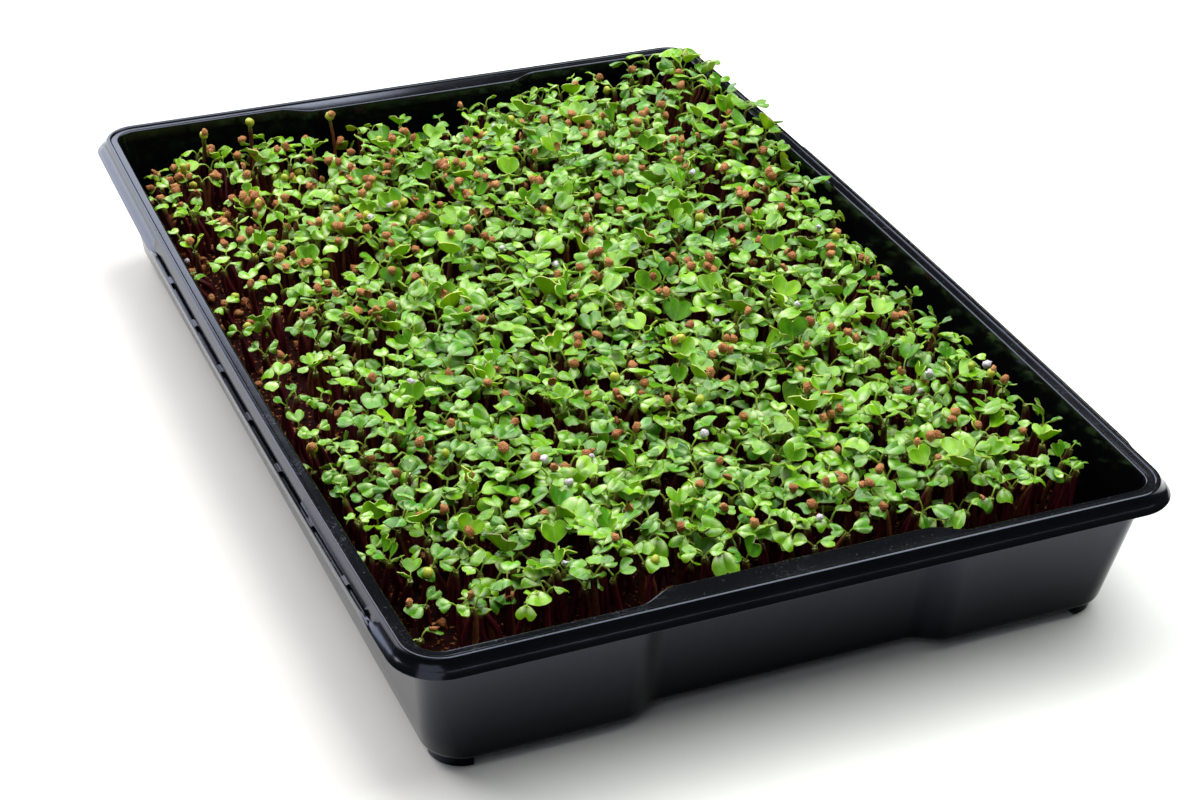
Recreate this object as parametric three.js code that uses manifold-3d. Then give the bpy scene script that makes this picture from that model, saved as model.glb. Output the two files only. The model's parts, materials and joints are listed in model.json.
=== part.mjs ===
// Radish microgreens in a moulded seed tray. Millimetres, +Z up, +Y along the long side.
// The origin is on the ground under the middle of the tray.
// The tray is a stack of closed outlines that share one numbering of their points. The greens are
// six bunches: in each one the seedlings stand out of a core of packed stems, and each seedling has
// one pair of notched seed leaves.
import * as THREE from "three";
import { mergeVertices } from "three/addons/utils/BufferGeometryUtils.js";
import Module from "manifold-3d";

const wasm = await Module();
wasm.setup();

// Driving dimensions of the tray
const RIM_WIDTH = 245;
const RIM_LENGTH = 356;
const RIM_HEIGHT = 50;
const LEDGE_HEIGHT = 49.4;
const LEDGE_WIDTH = 4.5;
const WALL = 1.2;
const FLOOR_UNDERSIDE = 3.6;
const FLOOR_THICKNESS = 1.6;
const LIP_DROP = 5;
const LIP_REACH = 3.4;
const WALL_FOOT_INSET = 9.4;
const SIDE_BOW = 2.3;
const RIM_CORNER = 12;
const FOOT_CORNER = 12.5;
const FOOT_ROUND = 2.6;
const FOOT_RIDGE_INSET = 2.2;
const FOOT_RIDGE_WIDTH = 4.8;
const BEAD_WIDTH = 1.3;
const BEAD_ROUND = 0.6;
const SKIRT_REACH = 2.2;
const LIP_THICKNESS = 0.9;
const RIB_SPACING = 31.4;
const RIB_FIRST = -129.4;
const RIB_COUNT = 7;
const RIB_WIDTH = 2.4;
const RIB_HEIGHT = 2.6;

// The recessed panel in each short side: how far it steps in, and where the step starts and ends
const RECESS = 5.2;
const RECESS_START = 54;
const RECESS_FULL = 41;

// Growing medium, with the gap that it and the greens keep to the tray and to each other
const SOIL_TOP = 20;
const SOIL_RELIEF = 1.3;
const GAP = 0.35;

// Greens: the mean height of the leaves at the corners of the bed, and how much it rises between
const CANOPY = { frontLeft: 44, frontRight: 44, backLeft: 38, backRight: 52 };
const CANOPY_DOME = 1.5;
const CANOPY_WAVE = 1.2;
const CROWN_SCATTER = 8;
const LEAF_THICKNESS = 0.95;
const LEAF_REACH = 15.5;
const LEAF_HALF_WIDTH = 8.6;
const LEAF_WAVE = 0.9;
const STEM_RADIUS = 1.05;
const SEEDLING_SPACING = 24;
const EDGE_CLEAR = 22;
const SEED_COAT_RADIUS = 2.3;
const SEED_COAT_SHARE = 0.3;

// The core of packed stems in each bunch, and the pocket of the medium that it stands in
const CORE_MARGIN = 9;
const CORE_WALL_CLEAR = 7;
const CORE_BELOW_LEAVES = 8;
const POCKET_DEPTH = 6;

const CORNER_STEPS = 5;
const FOOT_STEPS = 5;
const SLIVER = 0.05;

// A seeded generator, so that every run makes the same tray
function seededRandom(seed) {
  let state = seed >>> 0;
  return () => {
    state = (Math.imul(state, 1664525) + 1013904223) >>> 0;
    return state / 4294967296;
  };
}

function between(random, low, high) {
  return low + (high - low) * random();
}

function smoothStep(t) {
  const s = Math.min(1, Math.max(0, t));
  return s * s * (3 - 2 * s);
}

function recessAt(x) {
  return RECESS * smoothStep((RECESS_START - Math.abs(x)) / (RECESS_START - RECESS_FULL));
}

// Stations along a short side: the ends of its panel, halfway through each step, and the middle
const STEP_MIDDLE = (RECESS_START + RECESS_FULL) / 2;
const SHORT_STATIONS = [
  -RECESS_START, -STEP_MIDDLE, -RECESS_FULL, 0, RECESS_FULL, STEP_MIDDLE, RECESS_START,
];
const LONG_STATIONS = [-95, 0, 95];

// One outline of the tray at a given inset from the rim's outer edge, anticlockwise from above
function outline({ inset, corner, recess = 0, bow = 0 }) {
  const a = RIM_WIDTH / 2 - inset;
  const b = RIM_LENGTH / 2 - inset;
  const points = [];
  const bowAt = (y) => bow * SIDE_BOW * (1 - (y / b) ** 2);
  const shortSide = (direction) => {
    for (const station of SHORT_STATIONS) {
      points.push([-direction * station, direction * (b - recess * recessAt(station))]);
    }
  };
  const longSide = (direction) => {
    for (const station of LONG_STATIONS) {
      const y = direction * station;
      points.push([direction * (a + bowAt(y)), y]);
    }
  };
  const cornerArc = (signX, signY, startAngle) => {
    for (let i = 0; i <= CORNER_STEPS; i++) {
      const angle = startAngle + ((Math.PI / 2) * i) / CORNER_STEPS;
      const y = signY * (b - corner) + corner * Math.sin(angle);
      points.push([signX * (a - corner) + corner * Math.cos(angle) + signX * bowAt(y), y]);
    }
  };
  shortSide(-1);
  cornerArc(1, -1, -Math.PI / 2);
  longSide(1);
  cornerArc(1, 1, 0);
  shortSide(1);
  cornerArc(-1, 1, Math.PI / 2);
  longSide(-1);
  cornerArc(-1, -1, Math.PI);
  return points;
}

// A closed solid from rings of points that share their numbering, with a fan at each end
function stackedSolid(rings) {
  const count = rings[0].length;
  const positions = [];
  const triangles = [];
  for (const ring of rings) {
    for (const point of ring) positions.push(...point);
  }
  for (let r = 0; r + 1 < rings.length; r++) {
    for (let i = 0; i < count; i++) {
      const j = (i + 1) % count;
      const low = r * count;
      const high = (r + 1) * count;
      triangles.push(low + i, low + j, high + j, low + i, high + j, high + i);
    }
  }
  const fan = (ring, offset, upwards) => {
    const middle = [0, 1, 2].map((k) => ring.reduce((sum, p) => sum + p[k], 0) / count);
    const centre = positions.length / 3;
    positions.push(...middle);
    for (let i = 0; i < count; i++) {
      const j = (i + 1) % count;
      if (upwards) triangles.push(offset + i, offset + j, centre);
      else triangles.push(offset + j, offset + i, centre);
    }
  };
  fan(rings[0], 0, false);
  fan(rings[rings.length - 1], (rings.length - 1) * count, true);
  return solidFrom(positions, triangles);
}

function solidFrom(positions, triangles) {
  const mesh = new wasm.Mesh({
    numProp: 3,
    vertProperties: new Float32Array(positions),
    triVerts: new Uint32Array(triangles),
  });
  return new wasm.Manifold(mesh);
}

// A three.js geometry as a solid for cutting and joining
function solidFromGeometry(geometry) {
  const bare = geometry.clone();
  bare.deleteAttribute("normal");
  bare.deleteAttribute("uv");
  const merged = mergeVertices(bare, 1e-4);
  return solidFrom(Array.from(merged.attributes.position.array), Array.from(merged.index.array));
}

function geometryFromSolid(solid) {
  const mesh = solid.getMesh();
  const geometry = new THREE.BufferGeometry();
  const positions = new Float32Array(mesh.numVert * 3);
  for (let i = 0; i < mesh.numVert; i++) {
    for (let k = 0; k < 3; k++) positions[i * 3 + k] = mesh.vertProperties[i * mesh.numProp + k];
  }
  geometry.setAttribute("position", new THREE.BufferAttribute(positions, 3));
  geometry.setIndex(new THREE.BufferAttribute(new Uint32Array(mesh.triVerts), 1));
  return geometry;
}

// A joined solid without the slivers that joining leaves, and without loose scraps
function cleaned(solid) {
  const pieces = solid.asOriginal().simplify(SLIVER).decompose();
  return pieces.reduce((best, piece) => (piece.volume() > best.volume() ? piece : best));
}

// Wall profile: insets of the outer and inner wall faces at a height
const WALL_TOP_INSET = LEDGE_WIDTH - WALL;
function outerInset(z) {
  const share = (RIM_HEIGHT - z) / (RIM_HEIGHT - FLOOR_UNDERSIDE);
  return WALL_TOP_INSET + share * (WALL_FOOT_INSET - WALL_TOP_INSET);
}
function wallCorner(z) {
  const share = (RIM_HEIGHT - z) / (RIM_HEIGHT - FLOOR_UNDERSIDE);
  return RIM_CORNER - LEDGE_WIDTH + share * (FOOT_CORNER - (RIM_CORNER - LEDGE_WIDTH));
}

function wallRing(z, extraInset, atZ = z) {
  const ring = outline({
    inset: outerInset(z) + extraInset,
    corner: Math.max(2, wallCorner(z) - extraInset * 0.6),
    recess: 1,
    bow: smoothStep((z - FLOOR_UNDERSIDE) / (RIM_HEIGHT - FLOOR_UNDERSIDE)),
  });
  return ring.map(([x, y]) => [x, y, atZ]);
}

function rimRing(z, inset, recess = 0) {
  const ring = outline({ inset, corner: RIM_CORNER - inset, recess, bow: 1 });
  return ring.map(([x, y]) => [x, y, z]);
}

// The shell's section, from the underside of the floor out round the rim and in to the inner floor
function trayShell() {
  const innerFloor = FLOOR_UNDERSIDE + FLOOR_THICKNESS;
  const lipBottom = RIM_HEIGHT - LIP_DROP;
  const lipTop = lipBottom + LIP_THICKNESS;
  const ledgeUnderside = LEDGE_HEIGHT - WALL;
  return stackedSolid([
    wallRing(FLOOR_UNDERSIDE, FOOT_ROUND),
    wallRing(FLOOR_UNDERSIDE + 0.3 * FOOT_ROUND, 0.3 * FOOT_ROUND),
    wallRing(FLOOR_UNDERSIDE + FOOT_ROUND, 0),
    wallRing(ledgeUnderside, 0),
    rimRing(ledgeUnderside, WALL + 0.2),
    rimRing(lipBottom, WALL - SKIRT_REACH),
    rimRing(lipBottom, -LIP_REACH),
    rimRing(lipTop, -LIP_REACH),
    rimRing(lipTop + 0.1, -SKIRT_REACH),
    rimRing(RIM_HEIGHT - BEAD_ROUND, 0),
    rimRing(RIM_HEIGHT, BEAD_ROUND),
    rimRing(RIM_HEIGHT, BEAD_WIDTH),
    rimRing(LEDGE_HEIGHT, BEAD_WIDTH + BEAD_ROUND),
    rimRing(LEDGE_HEIGHT, LEDGE_WIDTH - BEAD_ROUND, 1),
    wallRing(LEDGE_HEIGHT - BEAD_ROUND, WALL),
    wallRing(innerFloor + FOOT_ROUND, WALL),
    wallRing(innerFloor + 0.3 * FOOT_ROUND, WALL + 0.3 * FOOT_ROUND),
    wallRing(innerFloor, WALL + FOOT_ROUND),
  ]);
}

// Small gussets that brace the skirt against the lip along both long sides
function gussets() {
  const rootInset = 0.8;
  const reach = LIP_REACH - 0.1 - rootInset;
  const profile = new THREE.Shape();
  profile.moveTo(0, 0);
  profile.lineTo(reach, 0);
  profile.lineTo(reach, 0.2 * RIB_HEIGHT);
  profile.lineTo(0.45 * reach, RIB_HEIGHT);
  profile.lineTo(0, RIB_HEIGHT);
  const ribs = [];
  for (const side of [-1, 1]) {
    for (let i = 0; i < RIB_COUNT; i++) {
      const y = RIB_FIRST + i * RIB_SPACING;
      const bow = SIDE_BOW * (1 - (y / (RIM_LENGTH / 2)) ** 2);
      const rib = new THREE.ExtrudeGeometry(profile, { depth: RIB_WIDTH, bevelEnabled: false });
      rib.rotateX(Math.PI / 2);
      rib.translate(0, RIB_WIDTH / 2, 0);
      if (side < 0) rib.rotateZ(Math.PI);
      const rootX = side * (RIM_WIDTH / 2 + bow + rootInset);
      rib.translate(rootX, y, RIM_HEIGHT - LIP_DROP + LIP_THICKNESS / 2);
      ribs.push(solidFromGeometry(rib));
    }
  }
  return ribs;
}

// Four feet: a low ridge round each bottom corner
function feet() {
  const centreX = RIM_WIDTH / 2 - WALL_FOOT_INSET - FOOT_CORNER;
  const centreY = RIM_LENGTH / 2 - WALL_FOOT_INSET - FOOT_CORNER;
  const outer = FOOT_CORNER - FOOT_RIDGE_INSET;
  const inner = outer - FOOT_RIDGE_WIDTH;
  const ridges = [];
  const signs = [[1, 1, 0], [-1, 1, 1], [-1, -1, 2], [1, -1, 3]];
  for (const [signX, signY, quarter] of signs) {
    const start = (quarter * Math.PI) / 2;
    const shape = new THREE.Shape();
    shape.absarc(0, 0, outer, start, start + Math.PI / 2, false);
    shape.absarc(0, 0, inner, start + Math.PI / 2, start, true);
    const foot = new THREE.ExtrudeGeometry(shape, {
      depth: FLOOR_UNDERSIDE + FLOOR_THICKNESS / 2,
      bevelEnabled: false,
      curveSegments: FOOT_STEPS,
    });
    foot.translate(signX * centreX, signY * centreY, 0);
    ridges.push(solidFromGeometry(foot));
  }
  return ridges;
}

// Growing medium: it fills the tray to SOIL_TOP, with a lumpy top made of rings that close in
function growingMedium(random) {
  const innerFloor = FLOOR_UNDERSIDE + FLOOR_THICKNESS;
  const side = WALL + GAP;
  const edge = wallRing(SOIL_TOP, side);
  const rings = [
    wallRing(innerFloor + GAP, side + FOOT_ROUND + GAP),
    wallRing(innerFloor + GAP + FOOT_ROUND, side),
    edge,
  ];
  for (const scale of [0.93, 0.78, 0.55, 0.28]) {
    rings.push(edge.map(([x, y]) => {
      return [x * scale, y * scale, SOIL_TOP + between(random, -SOIL_RELIEF, SOIL_RELIEF)];
    }));
  }
  return stackedSolid(rings);
}

// The six bunches share the bed as two columns and three rows with gently winding borders
const BUNCH_COLUMNS = 2;
const BUNCH_ROWS = 3;
const BED_HALF_X = RIM_WIDTH / 2 - LEDGE_WIDTH;
const BED_HALF_Y = RIM_LENGTH / 2 - LEDGE_WIDTH;

function winding(distance, phase) {
  return 5 * Math.sin(distance / 21 + phase) + 2 * Math.sin(distance / 9 + phase + 1);
}
function columnBorder(y) {
  return winding(y, 0);
}
function rowBorder(row, x) {
  return -BED_HALF_Y + (2 * BED_HALF_Y * row) / BUNCH_ROWS + winding(x, row * 2);
}

// One bunch's ground as a polygon, held back by a margin from its neighbours and from the wall
function bunchGround(column, row, margin, wallMargin) {
  const steps = 6;
  const left = column === 0 ? () => -BED_HALF_X - wallMargin : (y) => columnBorder(y) + margin;
  const right = column === 0 ? (y) => columnBorder(y) - margin : () => BED_HALF_X + wallMargin;
  const frontAt = (x) => (row === 0 ? -BED_HALF_Y - wallMargin : rowBorder(row, x) + margin);
  const isLast = row === BUNCH_ROWS - 1;
  const backAt = (x) => (isLast ? BED_HALF_Y + wallMargin : rowBorder(row + 1, x) - margin);
  const middleX = column === 0 ? -BED_HALF_X / 2 : BED_HALF_X / 2;
  const corner = (sideX, edgeY) => {
    let x = sideX(edgeY(middleX));
    let y = edgeY(x);
    for (let i = 0; i < 4; i++) {
      x = sideX(y);
      y = edgeY(x);
    }
    return [x, y];
  };
  const frontLeft = corner(left, frontAt);
  const frontRight = corner(right, frontAt);
  const backRight = corner(right, backAt);
  const backLeft = corner(left, backAt);
  const points = [];
  const along = (from, to, place) => {
    for (let i = 0; i < steps; i++) points.push(place(from + ((to - from) * i) / steps));
  };
  along(frontLeft[0], frontRight[0], (x) => [x, frontAt(x)]);
  along(frontRight[1], backRight[1], (y) => [right(y), y]);
  along(backRight[0], backLeft[0], (x) => [x, backAt(x)]);
  along(backLeft[1], frontLeft[1], (y) => [left(y), y]);
  return { points, centre: [middleX, (frontAt(middleX) + backAt(middleX)) / 2] };
}

function prism(points, low, high) {
  return stackedSolid([points.map(([x, y]) => [x, y, low]), points.map(([x, y]) => [x, y, high])]);
}

function insidePolygon([px, py], points) {
  let inside = false;
  for (let i = 0, j = points.length - 1; i < points.length; j = i++) {
    const [xi, yi] = points[i];
    const [xj, yj] = points[j];
    if (yi > py !== yj > py && px < ((xj - xi) * (py - yi)) / (yj - yi) + xi) inside = !inside;
  }
  return inside;
}

// The space over the medium that greens may fill: clear of the walls by GAP, open above the rim
function bedSpace() {
  const side = WALL + 1.4 * GAP;
  const openTop = RIM_HEIGHT + 25;
  return stackedSolid([
    wallRing(SOIL_TOP / 2, side),
    wallRing(LEDGE_HEIGHT - 1, side),
    wallRing(LEDGE_HEIGHT - 1, side, openTop),
  ]);
}

// Mean height of the leaves over a place on the bed: highest at the back right, lowest back left
function canopyHeight(x, y) {
  const right = (1 + x / BED_HALF_X) / 2;
  const back = (1 + y / BED_HALF_Y) / 2;
  const front = CANOPY.frontLeft + (CANOPY.frontRight - CANOPY.frontLeft) * right;
  const rear = CANOPY.backLeft + (CANOPY.backRight - CANOPY.backLeft) * right;
  const dome = CANOPY_DOME * Math.sin(Math.PI * right) * Math.sin(Math.PI * back);
  return front + (rear - front) * back + dome + CANOPY_WAVE * Math.sin(x / 31 + y / 47);
}

// One pair of seed leaves: a thin waved blade with a notch in each end and a narrow waist.
// LEAF_ARM is half of its outline as shares of reach and half width, anticlockwise from the waist.
const LEAF_ARM = [
  [0.07, -0.13],
  [0.5, -0.96],
  [1, -0.72],
  [0.8, 0],
  [1, 0.72],
  [0.5, 0.96],
  [0.07, 0.13],
];
const NOTCH = 3;

function leafPair({ x, y, z, turn, reach, halfWidth, cup, droop, tilt, roll }) {
  const perArm = LEAF_ARM.length;
  const rimCount = 2 * perArm;
  const flat = [...LEAF_ARM, ...LEAF_ARM.map(([u, v]) => [-u, -v])];
  const under = flat.length;
  const positions = [];
  for (const lift of [LEAF_THICKNESS / 2, -LEAF_THICKNESS / 2]) {
    for (const [u, v] of flat) {
      const along = u * reach;
      const across = v * halfWidth;
      const wave = LEAF_WAVE * Math.sin(Math.PI * Math.abs(u) + turn * 5) * v;
      const rise = cup * v * v + droop * u * u + wave + tilt * along + roll * across;
      positions.push(x + along * Math.cos(turn) - across * Math.sin(turn));
      positions.push(y + along * Math.sin(turn) + across * Math.cos(turn));
      positions.push(z + rise + lift);
    }
  }
  const faces = [
    [rimCount - 1, 0, perArm - 1],
    [rimCount - 1, perArm - 1, perArm],
  ];
  for (const first of [0, perArm]) {
    for (let i = 1; i < perArm - 1; i++) {
      faces.push([first + NOTCH, first + ((NOTCH + i) % perArm), first + ((NOTCH + i + 1) % perArm)]);
    }
  }
  const triangles = [];
  for (const [a, b, c] of faces) triangles.push(a, b, c, c + under, b + under, a + under);
  for (let i = 0; i < rimCount; i++) {
    const j = (i + 1) % rimCount;
    triangles.push(j, i, i + under, j, i + under, j + under);
  }
  return solidFrom(positions, triangles);
}

// A three-sided stem from one point to another
function stem(from, to, radius) {
  const positions = [];
  for (const end of [from, to]) {
    for (let i = 0; i < 3; i++) {
      const angle = (2 * Math.PI * i) / 3;
      positions.push(end.x + radius * Math.cos(angle), end.y + radius * Math.sin(angle), end.z);
    }
  }
  const triangles = [0, 2, 1, 3, 4, 5];
  for (let i = 0; i < 3; i++) {
    const j = (i + 1) % 3;
    triangles.push(i, j, j + 3, i, j + 3, i + 3);
  }
  return solidFrom(positions, triangles);
}

// A shed seed coat, a little crumpled ball that clings to a leaf
function seedCoat(x, y, z, turn) {
  const geometry = new THREE.OctahedronGeometry(SEED_COAT_RADIUS, 0);
  geometry.scale(1, 1, 0.85);
  geometry.rotateX(turn);
  geometry.rotateZ(turn * 2);
  geometry.translate(x, y, z);
  return solidFromGeometry(geometry);
}

// The seedlings of the whole bed, on a jittered staggered grid. Each one takes, of a few random
// turns and heights, the one that crosses the leaves placed before it least.
const TURNS_TRIED = 26;
const LEAF_LAYER = 5;

function crossing(lobes, placed) {
  let total = 0;
  for (const [x, y, z] of lobes) {
    for (const [px, py, pz] of placed) {
      const apart = Math.hypot(x - px, y - py);
      const clear = 2 * LEAF_HALF_WIDTH - apart;
      if (clear > 0 && Math.abs(z - pz) < LEAF_LAYER) total += clear;
    }
  }
  return total;
}

function seedlings(random) {
  const placed = [];
  const list = [];
  const jitter = SEEDLING_SPACING / 10;
  const rowStep = SEEDLING_SPACING * Math.sin(Math.PI / 3);
  const rows = Math.floor((2 * BED_HALF_Y - EDGE_CLEAR) / rowStep);
  const columns = Math.floor((2 * BED_HALF_X - EDGE_CLEAR) / SEEDLING_SPACING);
  for (let r = 0; r <= rows; r++) {
    for (let c = 0; c <= columns; c++) {
      const stagger = r % 2 === 0 ? 0.25 : -0.25;
      const x = (c - columns / 2 + stagger) * SEEDLING_SPACING + between(random, -jitter, jitter);
      const y = (r - rows / 2) * rowStep + between(random, -jitter, jitter);
      const size = between(random, 0.86, 1.14);
      let best = null;
      for (let i = 0; i < TURNS_TRIED; i++) {
        const turn = random() * Math.PI;
        const z = canopyHeight(x, y) + between(random, -CROWN_SCATTER / 2, CROWN_SCATTER / 2);
        const arm = LEAF_REACH * size * 0.6;
        const lobes = [arm, -arm].map((d) => [x + d * Math.cos(turn), y + d * Math.sin(turn), z]);
        const cost = crossing(lobes, placed);
        if (!best || cost < best.cost) best = { x, y, z, turn, size, lobes, cost };
      }
      placed.push(...best.lobes);
      list.push(best);
    }
  }
  return list;
}

// The core of packed stems: a fluted mound that stands in a plain pocket of the medium
function bunchCore(column, row, random) {
  const low = bunchGround(column, row, CORE_MARGIN, -CORE_MARGIN - CORE_WALL_CLEAR);
  const topMargin = CORE_MARGIN - 3;
  const high = bunchGround(column, row, topMargin, -topMargin - CORE_WALL_CLEAR);
  const ringAt = (z) => low.points.map(([x, y]) => [x, y, z]);
  const [cx, cy] = high.centre;
  const top = high.points.map(([x, y], i) => {
    const flute = i % 2 === 0 ? 1.03 : 1;
    const z = canopyHeight(x, y) - CORE_BELOW_LEAVES + between(random, -1.5, 1.5);
    return [cx + (x - cx) * flute, cy + (y - cy) * flute, z];
  });
  return stackedSolid([ringAt(SOIL_TOP - POCKET_DEPTH), ringAt(SOIL_TOP + 3), top]);
}

// One seedling: its stem leans out of the core towards its crown, which carries the leaf pair
function seedling({ x, y, z, turn, size }, [cx, cy], random) {
  const wallZone = 16;
  const nearWall = BED_HALF_X - Math.abs(x) < wallZone || BED_HALF_Y - Math.abs(y) < wallZone;
  const pull = nearWall ? 0.88 : 0.95;
  const footZ = nearWall ? SOIL_TOP + 5 : canopyHeight(x, y) - CORE_BELOW_LEAVES - 2;
  const foot = new THREE.Vector3(cx + (x - cx) * pull, cy + (y - cy) * pull, footZ);
  const pair = {
    x,
    y,
    z,
    turn,
    reach: LEAF_REACH * size,
    halfWidth: LEAF_HALF_WIDTH * size,
    cup: between(random, -1.75, 3.25),
    droop: between(random, -3.2, 3.8),
    tilt: between(random, -0.17, 0.17),
    roll: between(random, -0.17, 0.17),
  };
  const solids = [stem(foot, new THREE.Vector3(x, y, z), STEM_RADIUS), leafPair(pair)];
  if (random() < SEED_COAT_SHARE) {
    const half = random() < 0.5 ? -0.5 : 0.5;
    const along = half * pair.reach;
    const coatX = x + along * Math.cos(turn);
    const coatY = y + along * Math.sin(turn);
    const leafZ = z + pair.droop * half * half + pair.tilt * along;
    solids.push(seedCoat(coatX, coatY, leafZ + SEED_COAT_RADIUS / 2, random() * Math.PI));
  }
  return solids;
}

function bunch(column, row, crop, space, random) {
  const cell = bunchGround(column, row, GAP * 0.65, 6);
  const solids = [bunchCore(column, row, random)];
  for (const one of crop) {
    if (insidePolygon([one.x, one.y], cell.points)) solids.push(...seedling(one, cell.centre, random));
  }
  const ground = prism(cell.points, 0, RIM_HEIGHT + 30);
  return cleaned(wasm.Manifold.union(solids).intersect(space).intersect(ground));
}

// Put the tray together
const group = new THREE.Group();
const finishes = {
  tray: { color: 0x15161a, roughness: 0.28, metalness: 0 },
  medium: { color: 0x1a0c07, roughness: 0.95, metalness: 0 },
  greens: { color: 0x4f9a2e, roughness: 0.45, metalness: 0 },
};

function addMesh(name, solid, finish) {
  const mesh = new THREE.Mesh(geometryFromSolid(solid), new THREE.MeshStandardMaterial(finishes[finish]));
  mesh.name = name;
  group.add(mesh);
}

addMesh("tray", cleaned(wasm.Manifold.union([trayShell(), ...gussets(), ...feet()])), "tray");

const random = seededRandom(31);
let medium = growingMedium(random);
const crop = seedlings(random);
const space = bedSpace();
const rowNames = ["front", "middle", "back"];
const columnNames = ["left", "right"];
for (let row = 0; row < BUNCH_ROWS; row++) {
  for (let column = 0; column < BUNCH_COLUMNS; column++) {
    const pocketMargin = CORE_MARGIN - GAP;
    const pocket = bunchGround(column, row, pocketMargin, -pocketMargin - CORE_WALL_CLEAR);
    const floorZ = SOIL_TOP - POCKET_DEPTH - GAP;
    medium = medium.subtract(prism(pocket.points, floorZ, SOIL_TOP + 2 * SOIL_RELIEF));
    const name = `greens_${rowNames[row]}_${columnNames[column]}`;
    addMesh(name, bunch(column, row, crop, space, random), "greens");
  }
}
addMesh("growing_medium", cleaned(medium), "medium");

export default group;
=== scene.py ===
# %% [markdown]
# # A tray of radish microgreens
# A black moulded seed tray, full of radish seedlings a week or so old: thousands of notched seed
# leaves on thin crimson stems, with the brown coats of the seeds still lying among them. This lesson
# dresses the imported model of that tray, and the tray's main sizes are read from that model. Lengths
# are written in millimetres and turned to metres when a mesh is made.

import json
import math

import bmesh
import bpy
import numpy as np
from mathutils import Euler, Matrix, Vector, noise
from mathutils.bvhtree import BVHTree

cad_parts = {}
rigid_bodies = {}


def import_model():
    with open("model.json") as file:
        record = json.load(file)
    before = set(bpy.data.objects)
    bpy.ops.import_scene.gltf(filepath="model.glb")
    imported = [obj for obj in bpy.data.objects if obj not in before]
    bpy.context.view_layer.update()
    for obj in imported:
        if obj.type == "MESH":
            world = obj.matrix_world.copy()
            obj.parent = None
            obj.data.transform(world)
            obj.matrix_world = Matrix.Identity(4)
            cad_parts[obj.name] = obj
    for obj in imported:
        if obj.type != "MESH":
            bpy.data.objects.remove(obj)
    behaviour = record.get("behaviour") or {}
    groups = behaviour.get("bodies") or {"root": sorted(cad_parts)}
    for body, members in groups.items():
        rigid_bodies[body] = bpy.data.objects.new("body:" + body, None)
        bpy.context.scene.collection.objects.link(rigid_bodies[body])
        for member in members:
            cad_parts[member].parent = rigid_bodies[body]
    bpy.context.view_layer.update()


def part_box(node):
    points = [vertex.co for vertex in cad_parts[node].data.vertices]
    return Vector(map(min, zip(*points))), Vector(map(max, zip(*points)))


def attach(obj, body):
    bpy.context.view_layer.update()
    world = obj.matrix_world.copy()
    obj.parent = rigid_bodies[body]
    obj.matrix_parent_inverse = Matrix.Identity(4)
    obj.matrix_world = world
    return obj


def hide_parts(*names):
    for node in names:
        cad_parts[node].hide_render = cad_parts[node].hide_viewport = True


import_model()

# %% [markdown]
# ## Shared helpers
# One function turns the sRGB hex colours that painters and web pages use into the linear values that
# shaders need. One function adds a node of any kind, with its settings and links. Others put an
# object in the scene, make a mesh object from plain lists and store values on its points. Everything
# else in the lesson is built from these.

# %% Helpers
MM = 0.001
scene = bpy.context.scene


def linear(hex_colour):
    """An sRGB hex colour as linear red, green, blue and alpha."""
    channels = [int(hex_colour[i:i + 2], 16) / 255 for i in (1, 3, 5)]
    return [c / 12.92 if c <= 0.04045 else ((c + 0.055) / 1.055) ** 2.4 for c in channels] + [1.0]


def add(tree, kind, inputs=None, **settings):
    """Adds a node. A key of inputs is a socket's name or number; a value is a number or a link."""
    node = tree.nodes.new(kind)
    for name, value in settings.items():
        setattr(node, name, value)
    for key, value in (inputs or {}).items():
        if isinstance(value, bpy.types.NodeSocket):
            tree.links.new(value, node.inputs[key])
        else:
            node.inputs[key].default_value = value
    return node


def placed(name, data):
    """An object in the scene, with a mesh, a light or a camera as its data."""
    made = bpy.data.objects.new(name, data)
    scene.collection.objects.link(made)
    return made


def shade(mesh, smooth=True):
    """Shades every face of a mesh smooth, or every face flat."""
    mesh.polygons.foreach_set("use_smooth", [smooth] * len(mesh.polygons))


def mesh_object(name, points_mm, faces, material=None, smooth=True):
    """A mesh object whose place is in its mesh, from points in millimetres."""
    mesh = bpy.data.meshes.new(name)
    mesh.from_pydata([(x * MM, y * MM, z * MM) for x, y, z in points_mm], [], faces)
    shade(mesh, smooth)
    if material:
        mesh.materials.append(material)
    return placed(name, mesh)


def set_attribute(mesh, name, values, kind="FLOAT"):
    """Stores one value for each vertex, for a material or a node tree to read by name."""
    layer = mesh.attributes.new(name, kind, "POINT")
    field = "vector" if kind == "FLOAT_VECTOR" else "value"
    number = np.int32 if kind == "INT" else np.float32
    layer.data.foreach_set(field, np.asarray(values, number).ravel())


def smooth_step(t):
    """Rises softly from nothing at 0 to one at 1, and stays level beyond them."""
    t = np.clip(t, 0, 1)
    return t * t * (3 - 2 * t)


print("halfway up a smooth step stands at", smooth_step(0.5))

# %% [markdown]
# ## The camera
# The tray is seen from its front left corner, a little over half a metre up. A long lens keeps the
# two long sides nearly parallel. The place, the turn and the lens were worked out from the rim's
# four corners, so that a rim of this size falls where the real one's does.

# %% Camera
CAMERA_PLACE = Vector((-295.9, -681.6, 461.7)) * MM
CAMERA_TURN = math.radians(-24.15)
CAMERA_DROP = math.radians(31.54)
CAMERA_ROLL = math.radians(1.91)
CAMERA_LENS = 74.5
SENSOR_WIDTH = 36

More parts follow.
